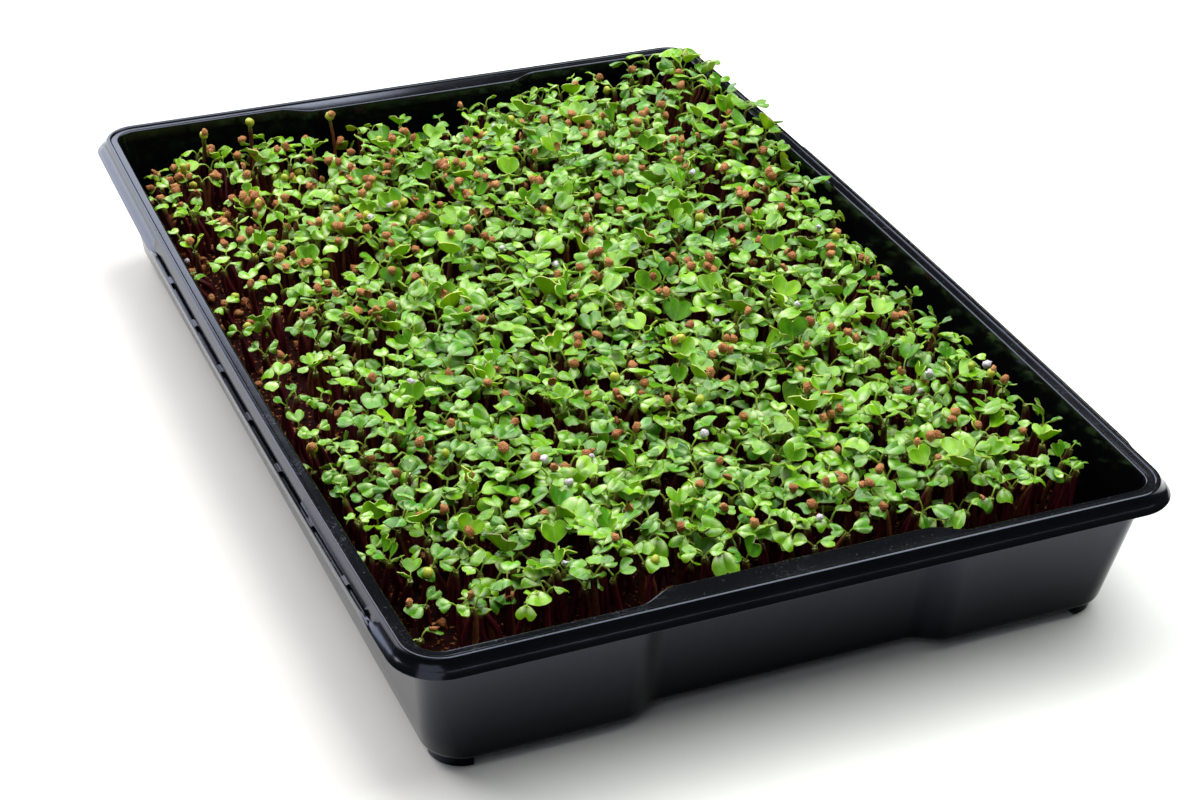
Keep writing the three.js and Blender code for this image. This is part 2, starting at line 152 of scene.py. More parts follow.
looking = Vector((-math.sin(CAMERA_TURN) * math.cos(CAMERA_DROP),
                  math.cos(CAMERA_TURN) * math.cos(CAMERA_DROP),
                  -math.sin(CAMERA_DROP)))
level = looking.cross(Vector((0, 0, 1))).normalized()
rightwards = level * math.cos(CAMERA_ROLL) + level.cross(looking) * math.sin(CAMERA_ROLL)
upwards = rightwards.cross(looking)
camera_data = bpy.data.cameras.new("studio_camera")
camera_data.lens = CAMERA_LENS
camera_data.sensor_width = SENSOR_WIDTH
camera_data.clip_start = 20 * MM
camera = placed("studio_camera", camera_data)
axes = Matrix((rightwards, upwards, -looking)).transposed()
camera.matrix_world = Matrix.Translation(CAMERA_PLACE) @ axes.to_4x4()
scene.camera = camera
print("the camera stands", round(CAMERA_PLACE.length, 3), "m from the tray")

# %% [markdown]
# ## Sizes
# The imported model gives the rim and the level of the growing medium. The rest are the sizes of the
# walls and of the moulding's edges, as on any thin-walled tray: a raised bead round a flat ledge, a
# sloping skirt and a small lip that stiffens it. The slope of the lip and the depth of its gutter
# are named here too, because both are cut into the same levels.

# %% Sizes of the tray
tray_low, tray_high = [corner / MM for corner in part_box("tray")]
medium_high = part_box("growing_medium")[1] / MM
LIP_REACH = 3.4
SIDE_BOW = 2.3
RIM_WIDTH = (tray_high.x - tray_low.x) - 2 * (LIP_REACH + SIDE_BOW)
RIM_LENGTH = (tray_high.y - tray_low.y) - 2 * LIP_REACH
RIM_HEIGHT = tray_high.z
BEAD_HEIGHT = 0.6
LEDGE_HEIGHT = RIM_HEIGHT - BEAD_HEIGHT
LEDGE_WIDTH = 4.5
WALL = 1.2
FLOOR_UNDERSIDE = 3.6
FLOOR_THICKNESS = 1.6
LIP_DROP = 5.0
LIP_THICKNESS = 1.9
LIP_ROUND = 0.2
LIP_SLOPE = 1.15
LIP_EDGE = 0.22
GUTTER_DEPTH = 1.3
GUTTER_ENDS = (-149.0, 82.0)
GUTTER_FADE = 8.0
GUTTER_SIDE = 0.05
LIP_LAND = 0.55
SKIRT_INSIDE_TOP = 1.4
SKIRT_INSIDE_FOOT = 1.0
SKIRT_FOOT = 1.75
BEAD_WIDTH = 1.3
BEAD_ROUND = 0.6
WALL_FOOT_INSET = 9.4
RIM_CORNER = 12.0
FOOT_CORNER = 12.5
FOOT_ROUND = 2.6
RECESS = 5.2
RECESS_START = 54.0
RECESS_FULL = 41.0
MEDIUM_SETTLED = 0.9
MEDIUM_TOP = medium_high.z - MEDIUM_SETTLED
print("rim", round(RIM_WIDTH, 1), "by", round(RIM_LENGTH, 1), "mm, medium up to", round(MEDIUM_TOP, 1))

# %% [markdown]
# ## Black polystyrene
# Seed trays are moulded from black polystyrene. Its skin is glossy but never perfect: the mould
# leaves a faint ripple, handling leaves fine dust, and drops of water dry to pale smears on the
# ledge. The base is close to black, so nearly all that is seen is gloss, and the gloss is a little
# cool. Noise lifts colour and roughness only on faces that look up. Its grains are drawn a millimetre
# wide, much coarser than dust, because finer ones wouldn't show. The inside's gloss is much weaker:
# an attribute on the mesh marks it. The front wall's gloss stays below the other walls' and fades
# towards its foot: this is painted shade, which darkens its reflection where the floor in front of it
# lies in the tray's shadow.

# %% Tray material
DUST_GRAIN = 1.1
WATER_DROP = 4
WATER_CLOUD = 26
MOULD_RIPPLE = 14


def new_material(name):
    """A material with an empty node tree, and the Object coordinates of whatever wears it."""
    material = bpy.data.materials.new(name)
    material.use_nodes = True
    tree = material.node_tree
    tree.nodes.clear()
    return material, tree, add(tree, "ShaderNodeTexCoord").outputs["Object"]


def end_material(material, inputs, relief=None, depth_mm=0.0, strength=0.0):
    """Ends a material's tree in a shader with these inputs, and with a relief where there is one."""
    tree = material.node_tree
    shader = add(tree, "ShaderNodeBsdfPrincipled", inputs)
    add(tree, "ShaderNodeOutputMaterial", {"Surface": shader.outputs[0]})
    if relief:
        bump = add(tree, "ShaderNodeBump", {
            "Strength": strength, "Distance": depth_mm * MM, "Height": relief})
        tree.links.new(bump.outputs[0], shader.inputs["Normal"])
    return material


def per_mm(size_mm):
    """The scale of a pattern whose features are about this many millimetres across."""
    return 1 / (size_mm * MM)


def tray_gloss(tree, place, facing):
    """Full outside, weak inside, and on the front wall lower and fading towards its foot as painted shade."""
    inside = add(tree, "ShaderNodeAttribute", attribute_name="inside").outputs["Fac"]
    gloss = add(tree, "ShaderNodeMapRange", {0: inside, 3: 0.5, 4: 0.05}).outputs[0]
    height = add(tree, "ShaderNodeSeparateXYZ", {0: place}).outputs["Z"]
    # Painted shade: the front wall's gloss fades towards its foot, so its reflection darkens there as if the
    # floor before it lay in shadow.
    painted_foot_shade = add(tree, "ShaderNodeMapRange", {0: height, 1: 5 * MM, 2: 46 * MM, 3: 0.06, 4: 1.0}).outputs[0]
    frontward = add(tree, "ShaderNodeMapRange", {0: facing["Y"], 1: -0.2, 2: -0.9}).outputs[0]
    kept = add(tree, "ShaderNodeMix", {0: frontward, 2: 1.15, 3: painted_foot_shade}).outputs[0]
    return add(tree, "ShaderNodeMath", {0: gloss, 1: kept}, operation="MULTIPLY").outputs[0]


def black_polystyrene():
    material, tree, place = new_material("black moulded polystyrene")
    normal = add(tree, "ShaderNodeNewGeometry").outputs["Normal"]
    facing = add(tree, "ShaderNodeSeparateXYZ", {0: normal}).outputs
    facing_up = add(tree, "ShaderNodeMapRange", {0: facing["Z"], 1: 0.75, 2: 0.97}).outputs[0]
    dust, cloud, drops, ripple = [
        add(tree, "ShaderNodeTexNoise", {"Vector": place, "Scale": per_mm(size), **more}).outputs["Fac"]
        for size, more in ((DUST_GRAIN, {"Detail": 5.0, "Roughness": 0.7}), (WATER_CLOUD, {"Detail": 4.0}),
                           (WATER_DROP, {"Detail": 1.0, "Distortion": 1.5}), (MOULD_RIPPLE, {"Detail": 2.0}))]
    grains, ring, ring_edge, patch, haze = [
        add(tree, "ShaderNodeMapRange", dict(enumerate(values))).outputs[0]
        for values in ((dust, 0.62, 0.74), (drops, 0.565, 0.58), (drops, 0.605, 0.59),
                       (cloud, 0.52, 0.66, 0.0, 0.5), (cloud, 0.3, 0.7, 0.13, 0.18))]
    soiled = ring
    for operation, other in (("MULTIPLY", ring_edge), ("MULTIPLY", patch), ("MAXIMUM", grains),
                             ("MULTIPLY", facing_up)):
        soiled = add(tree, "ShaderNodeMath", {0: soiled, 1: other}, operation=operation).outputs[0]
    faint = add(tree, "ShaderNodeMath", {0: soiled, 1: 0.32}, operation="MULTIPLY").outputs[0]
    colour = add(tree, "ShaderNodeMix", {0: faint, 6: linear("#060709"), 7: linear("#8b909c")},
                 data_type="RGBA").outputs[2]
    roughness = add(tree, "ShaderNodeMath", {0: soiled, 1: 0.2, 2: haze}, operation="MULTIPLY_ADD")
    relief = add(tree, "ShaderNodeMath", {0: dust, 1: 0.12, 2: ripple}, operation="MULTIPLY_ADD")
    return end_material(material, {
        "Base Color": colour, "Roughness": roughness.outputs[0], "IOR": 1.55,
        "Specular IOR Level": tray_gloss(tree, place, facing),
        "Specular Tint": linear("#d4deff")}, relief.outputs[0], 0.3, 0.07)


tray_finish = black_polystyrene()
print("made", tray_finish.name)

# %% [markdown]
# ## The tray's outline
# Every level of the tray has the same outline, a rectangle with round corners, pushed in a little
# further the lower it is. Two things make it this tray: the long sides bow out, because the soil
# presses on them, and each short side steps inwards along its middle to make a stiff panel. Sampling
# that outline once, always with the same number of points, lets any two levels be joined by quads.

# %% Outline
CORNER_STEPS = 12
PANEL_STEPS = 8
side_stations = [*np.linspace(RECESS_FULL, RECESS_START, PANEL_STEPS + 1), 76, 98]
short_stations = [-s for s in reversed(side_stations)] + [-20, 0, 20] + side_stations
end_stations = [76, 79, 81, 83, 85, 88, 144, 146, 148, 150, 152, 154]
long_stations = sorted([*np.linspace(-137.5, 137.5, 23), *end_stations, *(-s for s in end_stations)])


def outline(inset, corner, recess, bow):
    """Points in millimetres round the tray at an inset from the rim's outer edge, anticlockwise."""
    half_width = RIM_WIDTH / 2 - inset
    half_length = RIM_LENGTH / 2 - inset

    def bowed(y):
        return bow * SIDE_BOW * (1 - (y / half_length) ** 2)

    def panel(x):
        return recess * RECESS * smooth_step((RECESS_START - abs(x)) / (RECESS_START - RECESS_FULL))

    points = []
    for quarter, (side_x, side_y) in enumerate([(1, -1), (1, 1), (-1, 1), (-1, -1)]):
        if side_x * side_y < 0:
            points += [(side_x * x, side_y * (half_length - panel(x))) for x in short_stations]
        else:
            points += [(side_x * (half_width + bowed(y)), side_y * y) for y in long_stations]
        start = (quarter - 1) * math.pi / 2
        for i in range(CORNER_STEPS + 1):
            angle = start + math.pi / 2 * i / CORNER_STEPS
            y = side_y * (half_length - corner) + corner * math.sin(angle)
            x = side_x * (half_width - corner + bowed(y)) + corner * math.cos(angle)
            points.append((x, y))
    return points


print("each level has", len(outline(0, RIM_CORNER, 0, 1)), "points")

# %% [markdown]
# ## The tray's section
# The section runs once round the thickness of the plastic: under the floor, up the outside of the
# wall, under the ledge, down the inside of the skirt, round the lip, up the skirt, over the bead,
# across the ledge and down the inside to the floor. Each row of the section is one level of the
# outline. Along most of both long sides a narrow gutter runs between the skirt and the lip, and
# everywhere else the lip slopes down and outwards. Where the moulding has a round edge, a few rows
# follow a quarter circle, because a hard edge has no highlight, and the fine highlights are what make
# this plastic look moulded.

# %% Levels of the tray
ROUND_STEPS = 4
LEAST_CORNER = 2.0
LONG_SIDE_ZONE = 8.0
LONG_SIDE_FADE = 6.0


def wall_inset(z):
    """How far the wall's outer face lies in from the rim at a height."""
    top = LEDGE_WIDTH - WALL
    return top + (RIM_HEIGHT - z) / (RIM_HEIGHT - FLOOR_UNDERSIDE) * (WALL_FOOT_INSET - top)


def wall_level(z, further=0.0):
    """A level of the wall: its outer face, or a face that lies further in."""
    share = (RIM_HEIGHT - z) / (RIM_HEIGHT - FLOOR_UNDERSIDE)
    corner = RIM_CORNER - LEDGE_WIDTH + share * (FOOT_CORNER - RIM_CORNER + LEDGE_WIDTH)
    bow = smooth_step(1 - share)
    ring = outline(wall_inset(z) + further, max(LEAST_CORNER, corner - 0.6 * further), 1.0, bow)
    return [(x, y, z) for x, y in ring]


def rim_level(z, inset, recess=0.0):
    """A flat level of the rim: skirt, bead or ledge."""
    return [(x, y, z) for x, y in outline(inset, max(LEAST_CORNER, RIM_CORNER - inset), recess, 1.0)]


def lip_level(z, inset, gutter=0.0):
    """A level of the lip: sunk into the gutter on the long sides, sloping down elsewhere."""
    sloping = RIM_HEIGHT - LIP_DROP + LIP_EDGE + LIP_SLOPE * (inset + LIP_REACH)
    fall = max(0.0, z - sloping)
    start, end = GUTTER_ENDS
    points = []
    for x, y in outline(inset, RIM_CORNER - inset, 0.0, 1.0):
        long_side = smooth_step((abs(x) - RIM_WIDTH / 2 + LONG_SIDE_ZONE) / LONG_SIDE_FADE)
        long_side *= smooth_step((y - start) / GUTTER_FADE + 0.5) * smooth_step((end - y) / GUTTER_FADE + 0.5)
        points.append((x, y, z - gutter * GUTTER_DEPTH * long_side - fall * (1 - long_side)))
    return points


def quarter(steps=ROUND_STEPS):
    """Sine and cosine at even steps from nothing to a right angle."""
    return [(math.sin(a), math.cos(a)) for a in np.linspace(0, math.pi / 2, steps + 1)]


print("the wall leans in", round(wall_inset(FLOOR_UNDERSIDE) - wall_inset(RIM_HEIGHT), 1), "mm to its foot")

# %% [markdown]
# ## Once round the section
# The list follows the section from the middle of the underside to the middle of the inner floor. It
# also counts the levels that face outwards, because the wetted inside has another gloss.

# %% Section
def tray_section():
    inner_floor = FLOOR_UNDERSIDE + FLOOR_THICKNESS
    ledge_underside = LEDGE_HEIGHT - WALL
    lip_bottom = RIM_HEIGHT - LIP_DROP
    lip_top = lip_bottom + LIP_THICKNESS
    levels = [wall_level(FLOOR_UNDERSIDE + FOOT_ROUND * (1 - c), FOOT_ROUND * (1 - s)) for s, c in quarter()]
    levels += [wall_level(z) for z in np.linspace(FLOOR_UNDERSIDE + 9, ledge_underside, 6)]
    levels += [rim_level(ledge_underside, SKIRT_INSIDE_TOP), rim_level(lip_bottom, -SKIRT_INSIDE_FOOT)]
    levels += [rim_level(lip_bottom + LIP_ROUND * (1 - c), LIP_ROUND * (1 - s) - LIP_REACH)
               for s, c in quarter(2)]
    levels += [lip_level(lip_top - LIP_ROUND * (1 - s), LIP_ROUND * (1 - c) - LIP_REACH)
               for s, c in quarter(2)]
    land_end = LIP_LAND - LIP_REACH
    levels += [lip_level(lip_top, land_end), lip_level(lip_top, land_end + GUTTER_SIDE, 1.0)]
    levels += [lip_level(lip_top + GUTTER_SIDE, -SKIRT_FOOT - 2 * GUTTER_SIDE, 1.0)]
    levels += [lip_level(lip_top + 2 * GUTTER_SIDE, -SKIRT_FOOT)]
    levels += [rim_level(RIM_HEIGHT - BEAD_ROUND, 0.0)]
    levels += [rim_level(RIM_HEIGHT - BEAD_ROUND * (1 - s), BEAD_ROUND * (1 - c)) for s, c in quarter()[1:]]
    levels += [rim_level(RIM_HEIGHT - BEAD_ROUND * (1 - c), BEAD_WIDTH + BEAD_ROUND * s)
               for s, c in quarter()]
    levels += [rim_level(LEDGE_HEIGHT, BEAD_WIDTH + BEAD_ROUND + 0.25)]
    ledge_end = LEDGE_WIDTH - BEAD_ROUND
    levels += [rim_level(LEDGE_HEIGHT, ledge_end, 1.0)]
    inner_edge = wall_inset(LEDGE_HEIGHT - BEAD_ROUND) + WALL - ledge_end
    levels += [rim_level(LEDGE_HEIGHT - BEAD_ROUND * (1 - c), ledge_end + inner_edge * s, 1.0)
               for s, c in quarter()[1:]]
    outside = len(levels)
    levels += [wall_level(z, WALL) for z in np.linspace(LEDGE_HEIGHT - 4, inner_floor + 8, 6)]
    levels += [wall_level(inner_floor + FOOT_ROUND * (1 - c), WALL + FOOT_ROUND * (1 - s))
               for s, c in reversed(quarter())]
    return levels, outside


section, outside_levels = tray_section()
print("the section has", len(section), "levels,", outside_levels, "of them outside")

# %% [markdown]
# ## The tray as one closed mesh
# Quads join each level to the next. The two open ends, under the floor and on its inside, are closed
# by rings that shrink to the middle. The join is smooth where the surface turns gently and sharp
# where it turns by more than a third of a right angle, which is what a moulded edge looks like.

# %% Tray mesh
SHARP_TURN = math.radians(32)
CLOSING_RINGS = (0.85, 0.5)


def quads_between(rings, count):
    """Faces that join rings of points, each ring to the next."""
    faces = []
    for low in range(0, (rings - 1) * count, count):
        high = low + count
        for i in range(count):
            j = (i + 1) % count
            faces.append((low + i, low + j, high + j, high + i))
    return faces


def closed_stack(levels):
    """Points and faces of a closed skin through the levels, with a fan on the first and the last."""
    count = len(levels[0])
    points = [p for level in levels for p in level]
    faces = quads_between(len(levels), count)
    for level, start, outwards in ((levels[0], 0, -1), (levels[-1], (len(levels) - 1) * count, 1)):
        ring = list(range(start, start + count))
        for share in CLOSING_RINGS:
            first = len(points)
            points += [(x * share, y * share, z) for x, y, z in level]
            inner = list(range(first, first + count))
            for i in range(count):
                j = (i + 1) % count
                quad = (ring[i], ring[j], inner[j], inner[i])
                faces.append(quad if outwards > 0 else quad[::-1])
            ring = inner
        points.append((0, 0, level[0][2]))
        for i in range(count):
            fan = (ring[i], ring[(i + 1) % count], len(points) - 1)
            faces.append(fan if outwards > 0 else fan[::-1])
    return points, faces


def crease(piece, turn=SHARP_TURN):
    """Marks the edges that turn by more than an angle, so that only they are drawn sharp."""
    shape = bmesh.new()
    shape.from_mesh(piece.data)
    for edge in shape.edges:
        edge.smooth = len(edge.link_faces) == 2 and edge.calc_face_angle(0) < turn
    shape.to_mesh(piece.data)
    shape.free()


def joined(name, pieces, material):
    """Several mesh objects as one, under one name."""
    whole = pieces[0]
    with bpy.context.temp_override(active_object=whole, selected_editable_objects=pieces):
        bpy.ops.object.join()
    whole.name = name
    whole.data.name = name
    whole.data.materials.clear()
    whole.data.materials.append(material)
    return whole


shell = mesh_object("tray_shell", *closed_stack(section), tray_finish)
is_inside = np.arange(len(shell.data.vertices)) >= outside_levels * len(section[0])
set_attribute(shell.data, "inside", is_inside)
crease(shell)
print("the shell has", len(shell.data.polygons), "faces")

# %% [markdown]
# ## The feet
# A low ridge curves round each bottom corner, so the tray stands on four short arcs. A rounded
# section swept through a right angle makes one ridge, and a loop turns it to the other corners.

# %% Feet
FOOT_OUTER = FOOT_CORNER - 2.2
FOOT_INNER = FOOT_CORNER - 7.0
FOOT_SWEEP_STEPS = 10
FOOT_EDGE = 0.5


def foot_ridge(side_x, side_y, quarter_turns):
    """The ridge under one corner: its section, swept through a right angle."""
    centre_x = side_x * (RIM_WIDTH / 2 - WALL_FOOT_INSET - FOOT_CORNER)
    centre_y = side_y * (RIM_LENGTH / 2 - WALL_FOOT_INSET - FOOT_CORNER)
    top = FLOOR_UNDERSIDE + FLOOR_THICKNESS / 2
    ridge_section = [(FOOT_INNER, top), (FOOT_INNER, FOOT_EDGE), (FOOT_INNER + FOOT_EDGE, 0),
                     (FOOT_OUTER - FOOT_EDGE, 0), (FOOT_OUTER, FOOT_EDGE), (FOOT_OUTER, top)]
    count = len(ridge_section)
    points = []
    for angle in np.linspace(0, math.pi / 2, FOOT_SWEEP_STEPS + 1) + quarter_turns * math.pi / 2:
        points += [(centre_x + r * math.cos(angle), centre_y + r * math.sin(angle), z)
                   for r, z in ridge_section]
    faces = quads_between(FOOT_SWEEP_STEPS + 1, count)
    faces += [tuple(reversed(range(count))), tuple(range(len(points) - count, len(points)))]
    ridge = mesh_object(f"foot_{quarter_turns}", points, faces, tray_finish)
    crease(ridge)
    return ridge


feet = [foot_ridge(*corner) for corner in ((1, 1, 0), (-1, 1, 1), (-1, -1, 2), (1, -1, 3))]
print("made", len(feet), "feet")

# %% [markdown]
# ## Node trees that make pieces
# What repeats by the hundred or follows a line is made by Geometry Nodes in this lesson. Three
# functions serve all such trees: one starts a tree with its named inputs, one ends it by making the
# copies real and giving them their finish, and `run_tree` sets the inputs, reads the result back as a
# plain mesh and takes the modifier away again.

# %% Node tree helpers
def new_tree(name, inputs):
    """A Geometry Nodes tree with one geometry socket each way and the named inputs."""
    tree = bpy.data.node_groups.new(name, "GeometryNodeTree")
    tree.interface.new_socket("Geometry", in_out="INPUT", socket_type="NodeSocketGeometry")
    tree.interface.new_socket("Geometry", in_out="OUTPUT", socket_type="NodeSocketGeometry")
    for label, kind in inputs.items():
        tree.interface.new_socket(label, in_out="INPUT", socket_type=kind)
    given = add(tree, "NodeGroupInput").outputs
    return tree, given


def end_tree(tree, geometry, finish):
    """Makes the copies real, gives them their finish and ends the tree."""
    real = add(tree, "GeometryNodeRealizeInstances", {"Geometry": geometry})
    dressed = add(tree, "GeometryNodeSetMaterial", {"Geometry": real.outputs[0], "Material": finish})
    add(tree, "NodeGroupOutput", {0: dressed.outputs[0]})
    return tree


def run_tree(name, mesh, tree, values):
    """A new object with the tree's result on a mesh, as plain vertices and faces."""
    piece = placed(name, mesh)
    modifier = piece.modifiers.new("grow", "NODES")
    modifier.node_group = tree
    sockets = {item.name: item.identifier for item in tree.interface.items_tree
               if item.item_type == "SOCKET" and item.in_out == "INPUT"}
    for label, value in values.items():
        modifier[sockets[label]] = value
    evaluated = piece.evaluated_get(bpy.context.evaluated_depsgraph_get())
    result = bpy.data.meshes.new_from_object(evaluated)
    piece.modifiers.remove(modifier)
    piece.data = result
    piece.data.name = name
    return piece


print("node trees made so far:", len(bpy.data.node_groups))

# %% [markdown]
# ## The gussets
# Small ribs cross the gutter along both long sides, one every 31 mm. They repeat at an even pitch
# along a curve, which suits a node tree: it turns the side's line into points at a given pitch and
# puts a rib on each one, turned to follow the line.

# %% Gussets
RIB_PITCH = 31.4
RIB_WIDTH = 4.6
RIB_HEIGHT = 2.0
RIB_ROOT = 0.6
RIB_FOOT = 0.4
FIRST_RIB = -129.4
RIB_COUNT = 7


def gusset_tree():
    tree, given = new_tree("gussets along a side", {
        "Rib": "NodeSocketObject", "Pitch": "NodeSocketFloat", "Finish": "NodeSocketMaterial"})
    path = add(tree, "GeometryNodeMeshToCurve", {"Mesh": given["Geometry"]})
    spots = add(tree, "GeometryNodeCurveToPoints", {"Curve": path.outputs[0], "Length": given["Pitch"]},
                mode="LENGTH").outputs
    rib = add(tree, "GeometryNodeObjectInfo", {"Object": given["Rib"]})
    turn = add(tree, "FunctionNodeAlignRotationToVector", {"Vector": spots["Tangent"]}, axis="Y",
               pivot_axis="Z")
    copies = add(tree, "GeometryNodeInstanceOnPoints", {
        "Points": spots["Points"], "Instance": rib.outputs["Geometry"], "Rotation": turn.outputs[0]})
    return end_tree(tree, copies.outputs[0], given["Finish"])


def rib_blank():
    """One gusset: a small block with a sloping top, its root on the skirt."""
    reach = LIP_REACH - 0.1 - RIB_ROOT
    side = [(0, 0), (reach, 0), (reach, 0.62 * RIB_HEIGHT), (0.45 * reach, 0.8 * RIB_HEIGHT), (0, RIB_HEIGHT)]
    points = [(x, y, z) for y in (-RIB_WIDTH / 2, RIB_WIDTH / 2) for x, z in side]
    count = len(side)
    faces = [tuple(range(count)), tuple(reversed(range(count, 2 * count)))]
    faces += [((i + 1) % count, i, i + count, (i + 1) % count + count) for i in range(count)]
    return mesh_object("rib_blank", points, faces, tray_finish, smooth=False)


def side_line(side):
    """The line along one long side on which the ribs stand."""
    stations = np.linspace(FIRST_RIB, FIRST_RIB + (RIB_COUNT - 1) * RIB_PITCH + 0.1, 49)[::side]
    bow = SIDE_BOW * (1 - (stations / (RIM_LENGTH / 2)) ** 2)
    z = RIM_HEIGHT - LIP_DROP + RIB_FOOT
    line = bpy.data.meshes.new("side_line")
    points = [(side * (RIM_WIDTH / 2 + b + RIB_ROOT) * MM, y * MM, z * MM) for y, b in zip(stations, bow)]
    line.from_pydata(points, [(i, i + 1) for i in range(len(points) - 1)], [])
    return line


rib = rib_blank()
gussets = gusset_tree()
ribs = [run_tree(f"ribs_{side}", side_line(side), gussets,
                 {"Rib": rib, "Pitch": RIB_PITCH * MM, "Finish": tray_finish}) for side in (1, -1)]
bpy.data.objects.remove(rib)
seed_tray = joined("seed_tray", [shell, *feet, *ribs], tray_finish)
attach(seed_tray, "root")
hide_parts("tray")
print("the tray has", len(seed_tray.data.polygons), "faces in all")

# %% [markdown]
# ## The growing medium
# The seed was sown on a slab of damp peat and coir. It is nearly black, with orange-brown fibres and
# crumbs. The slab is a closed mesh through levels of the tray's own inside, a third of a millimetre
# clear of the plastic, and its top is gently uneven. The crumbs are far too many to place by hand, so
# a node tree strews them over the faces that look up, each stretched and turned at random.

# %% Growing medium
CLEARANCE = 0.35
MEDIUM_RINGS = 22
MEDIUM_RELIEF = 1.2
MEDIUM_HUMP = 15
CRUMB_RADIUS = 1.5
CRUMBS_PER_SQUARE_METRE = 34000.0
CRUMB_SEED = 5
PEAT_CLOD = 2.4
PEAT_FIBRE = 1.3


def damp_peat():
    material, tree, place = new_material("damp peat and coir")
    clods = add(tree, "ShaderNodeTexNoise", {
        "Vector": place, "Scale": per_mm(PEAT_CLOD), "Detail": 6.0, "Roughness": 0.65}).outputs["Fac"]
    fibres = add(tree, "ShaderNodeTexNoise", {
        "Vector": place, "Scale": per_mm(PEAT_FIBRE), "Detail": 3.0})
    dark = add(tree, "ShaderNodeMix", {0: clods, 6: linear("#0d0304"), 7: linear("#2b0d0c")},
               data_type="RGBA").outputs[2]
    speck = add(tree, "ShaderNodeMapRange", {0: fibres.outputs["Fac"], 1: 0.6, 2: 0.68}).outputs[0]
    colour = add(tree, "ShaderNodeMix", {0: speck, 6: dark, 7: linear("#9a5a2c")}, data_type="RGBA")
    wet = add(tree, "ShaderNodeMapRange", {0: clods, 1: 0.35, 2: 0.65, 3: 0.55, 4: 0.95}).outputs[0]
    return end_material(material, {
        "Base Color": colour.outputs[2], "Roughness": wet, "Specular IOR Level": 0.05}, clods, 0.6, 0.8)


def medium_levels():
    """Levels of the slab, up the inside of the tray and then in rings to the middle of its top."""
    floor = FLOOR_UNDERSIDE + FLOOR_THICKNESS + CLEARANCE
    inside = WALL + CLEARANCE
    levels = [wall_level(floor + FOOT_ROUND * (1 - c), inside + FOOT_ROUND * (1 - s))
              for s, c in quarter()]
    levels += [wall_level(z, inside) for z in (floor + 8, MEDIUM_TOP - 1)]
    border = wall_level(MEDIUM_TOP, inside + 0.8)
    for share in np.linspace(1, 0.04, MEDIUM_RINGS):
        ring = [Vector((x * share, y * share, MEDIUM_TOP)) for x, y, _ in border]
        levels.append([(p.x, p.y, p.z + MEDIUM_RELIEF * noise.noise(p / MEDIUM_HUMP)) for p in ring])
    return levels


def crumb_tree():
    tree, given = new_tree("crumbs on the medium", {
        "Per square metre": "NodeSocketFloat", "Radius": "NodeSocketFloat", "Finish": "NodeSocketMaterial"})
    normal = add(tree, "GeometryNodeInputNormal").outputs[0]
    upward = add(tree, "ShaderNodeSeparateXYZ", {0: normal}).outputs["Z"]
    looks_up = add(tree, "FunctionNodeCompare", {0: upward, 1: 0.8}, data_type="FLOAT",
                   operation="GREATER_THAN").outputs[0]
    spots = add(tree, "GeometryNodeDistributePointsOnFaces", {
        "Mesh": given["Geometry"], "Selection": looks_up, "Density": given["Per square metre"],
        "Seed": CRUMB_SEED})
    crumb = add(tree, "GeometryNodeMeshIcoSphere", {"Radius": given["Radius"], "Subdivisions": 1})
    stretch = add(tree, "FunctionNodeRandomValue", {0: (0.25, 0.25, 0.2), 1: (1.0, 0.8, 0.7)},
                  data_type="FLOAT_VECTOR")
    turn = add(tree, "FunctionNodeRandomValue", {0: (0, 0, 0), 1: (math.tau,) * 3, "Seed": CRUMB_SEED},
               data_type="FLOAT_VECTOR")
    copies = add(tree, "GeometryNodeInstanceOnPoints", {
        "Points": spots.outputs["Points"], "Instance": crumb.outputs[0], "Rotation": turn.outputs[0],
        "Scale": stretch.outputs[0]})
    whole = add(tree, "GeometryNodeJoinGeometry", {0: copies.outputs[0]})
    tree.links.new(given["Geometry"], whole.inputs[0])
    return end_tree(tree, whole.outputs[0], given["Finish"])


peat_finish = damp_peat()
slab = mesh_object("slab", *closed_stack(medium_levels()))
growing_medium = run_tree("peat_medium", slab.data, crumb_tree(), {
    "Per square metre": CRUMBS_PER_SQUARE_METRE, "Radius": CRUMB_RADIUS * MM, "Finish": peat_finish})
bpy.data.objects.remove(slab)
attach(growing_medium, "root")
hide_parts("growing_medium")
print("the medium has", len(growing_medium.data.polygons), "faces with its crumbs")

# %% [markdown]
# ## The seed leaf's skin
# A radish seed leaf is waxy: deep green above, yellow-green below, with a thin pale or brownish
# margin and a faint midrib. The tops of its domes are painted a pale mint in patches: a painted
# highlight that stands for the sheen of the wax. The leaf is thin, so light bleeds through it, and
# subsurface scattering gives that soft look. Colours that follow the leaf's own shape read attributes
# stored on its mesh: which face it is, how near the margin, the midrib and the top of a dome, and a
# tone for each plant. A leaf's cells are too fine to show, so its grain is drawn nearly a millimetre
# wide. The ranges and the layers of colour are many, so each kind is a table and a loop.

# %% Leaf material
LEAF_BLEED = 0.6
LEAF_MOTTLE = 5.5
LEAF_GRAIN = 0.9


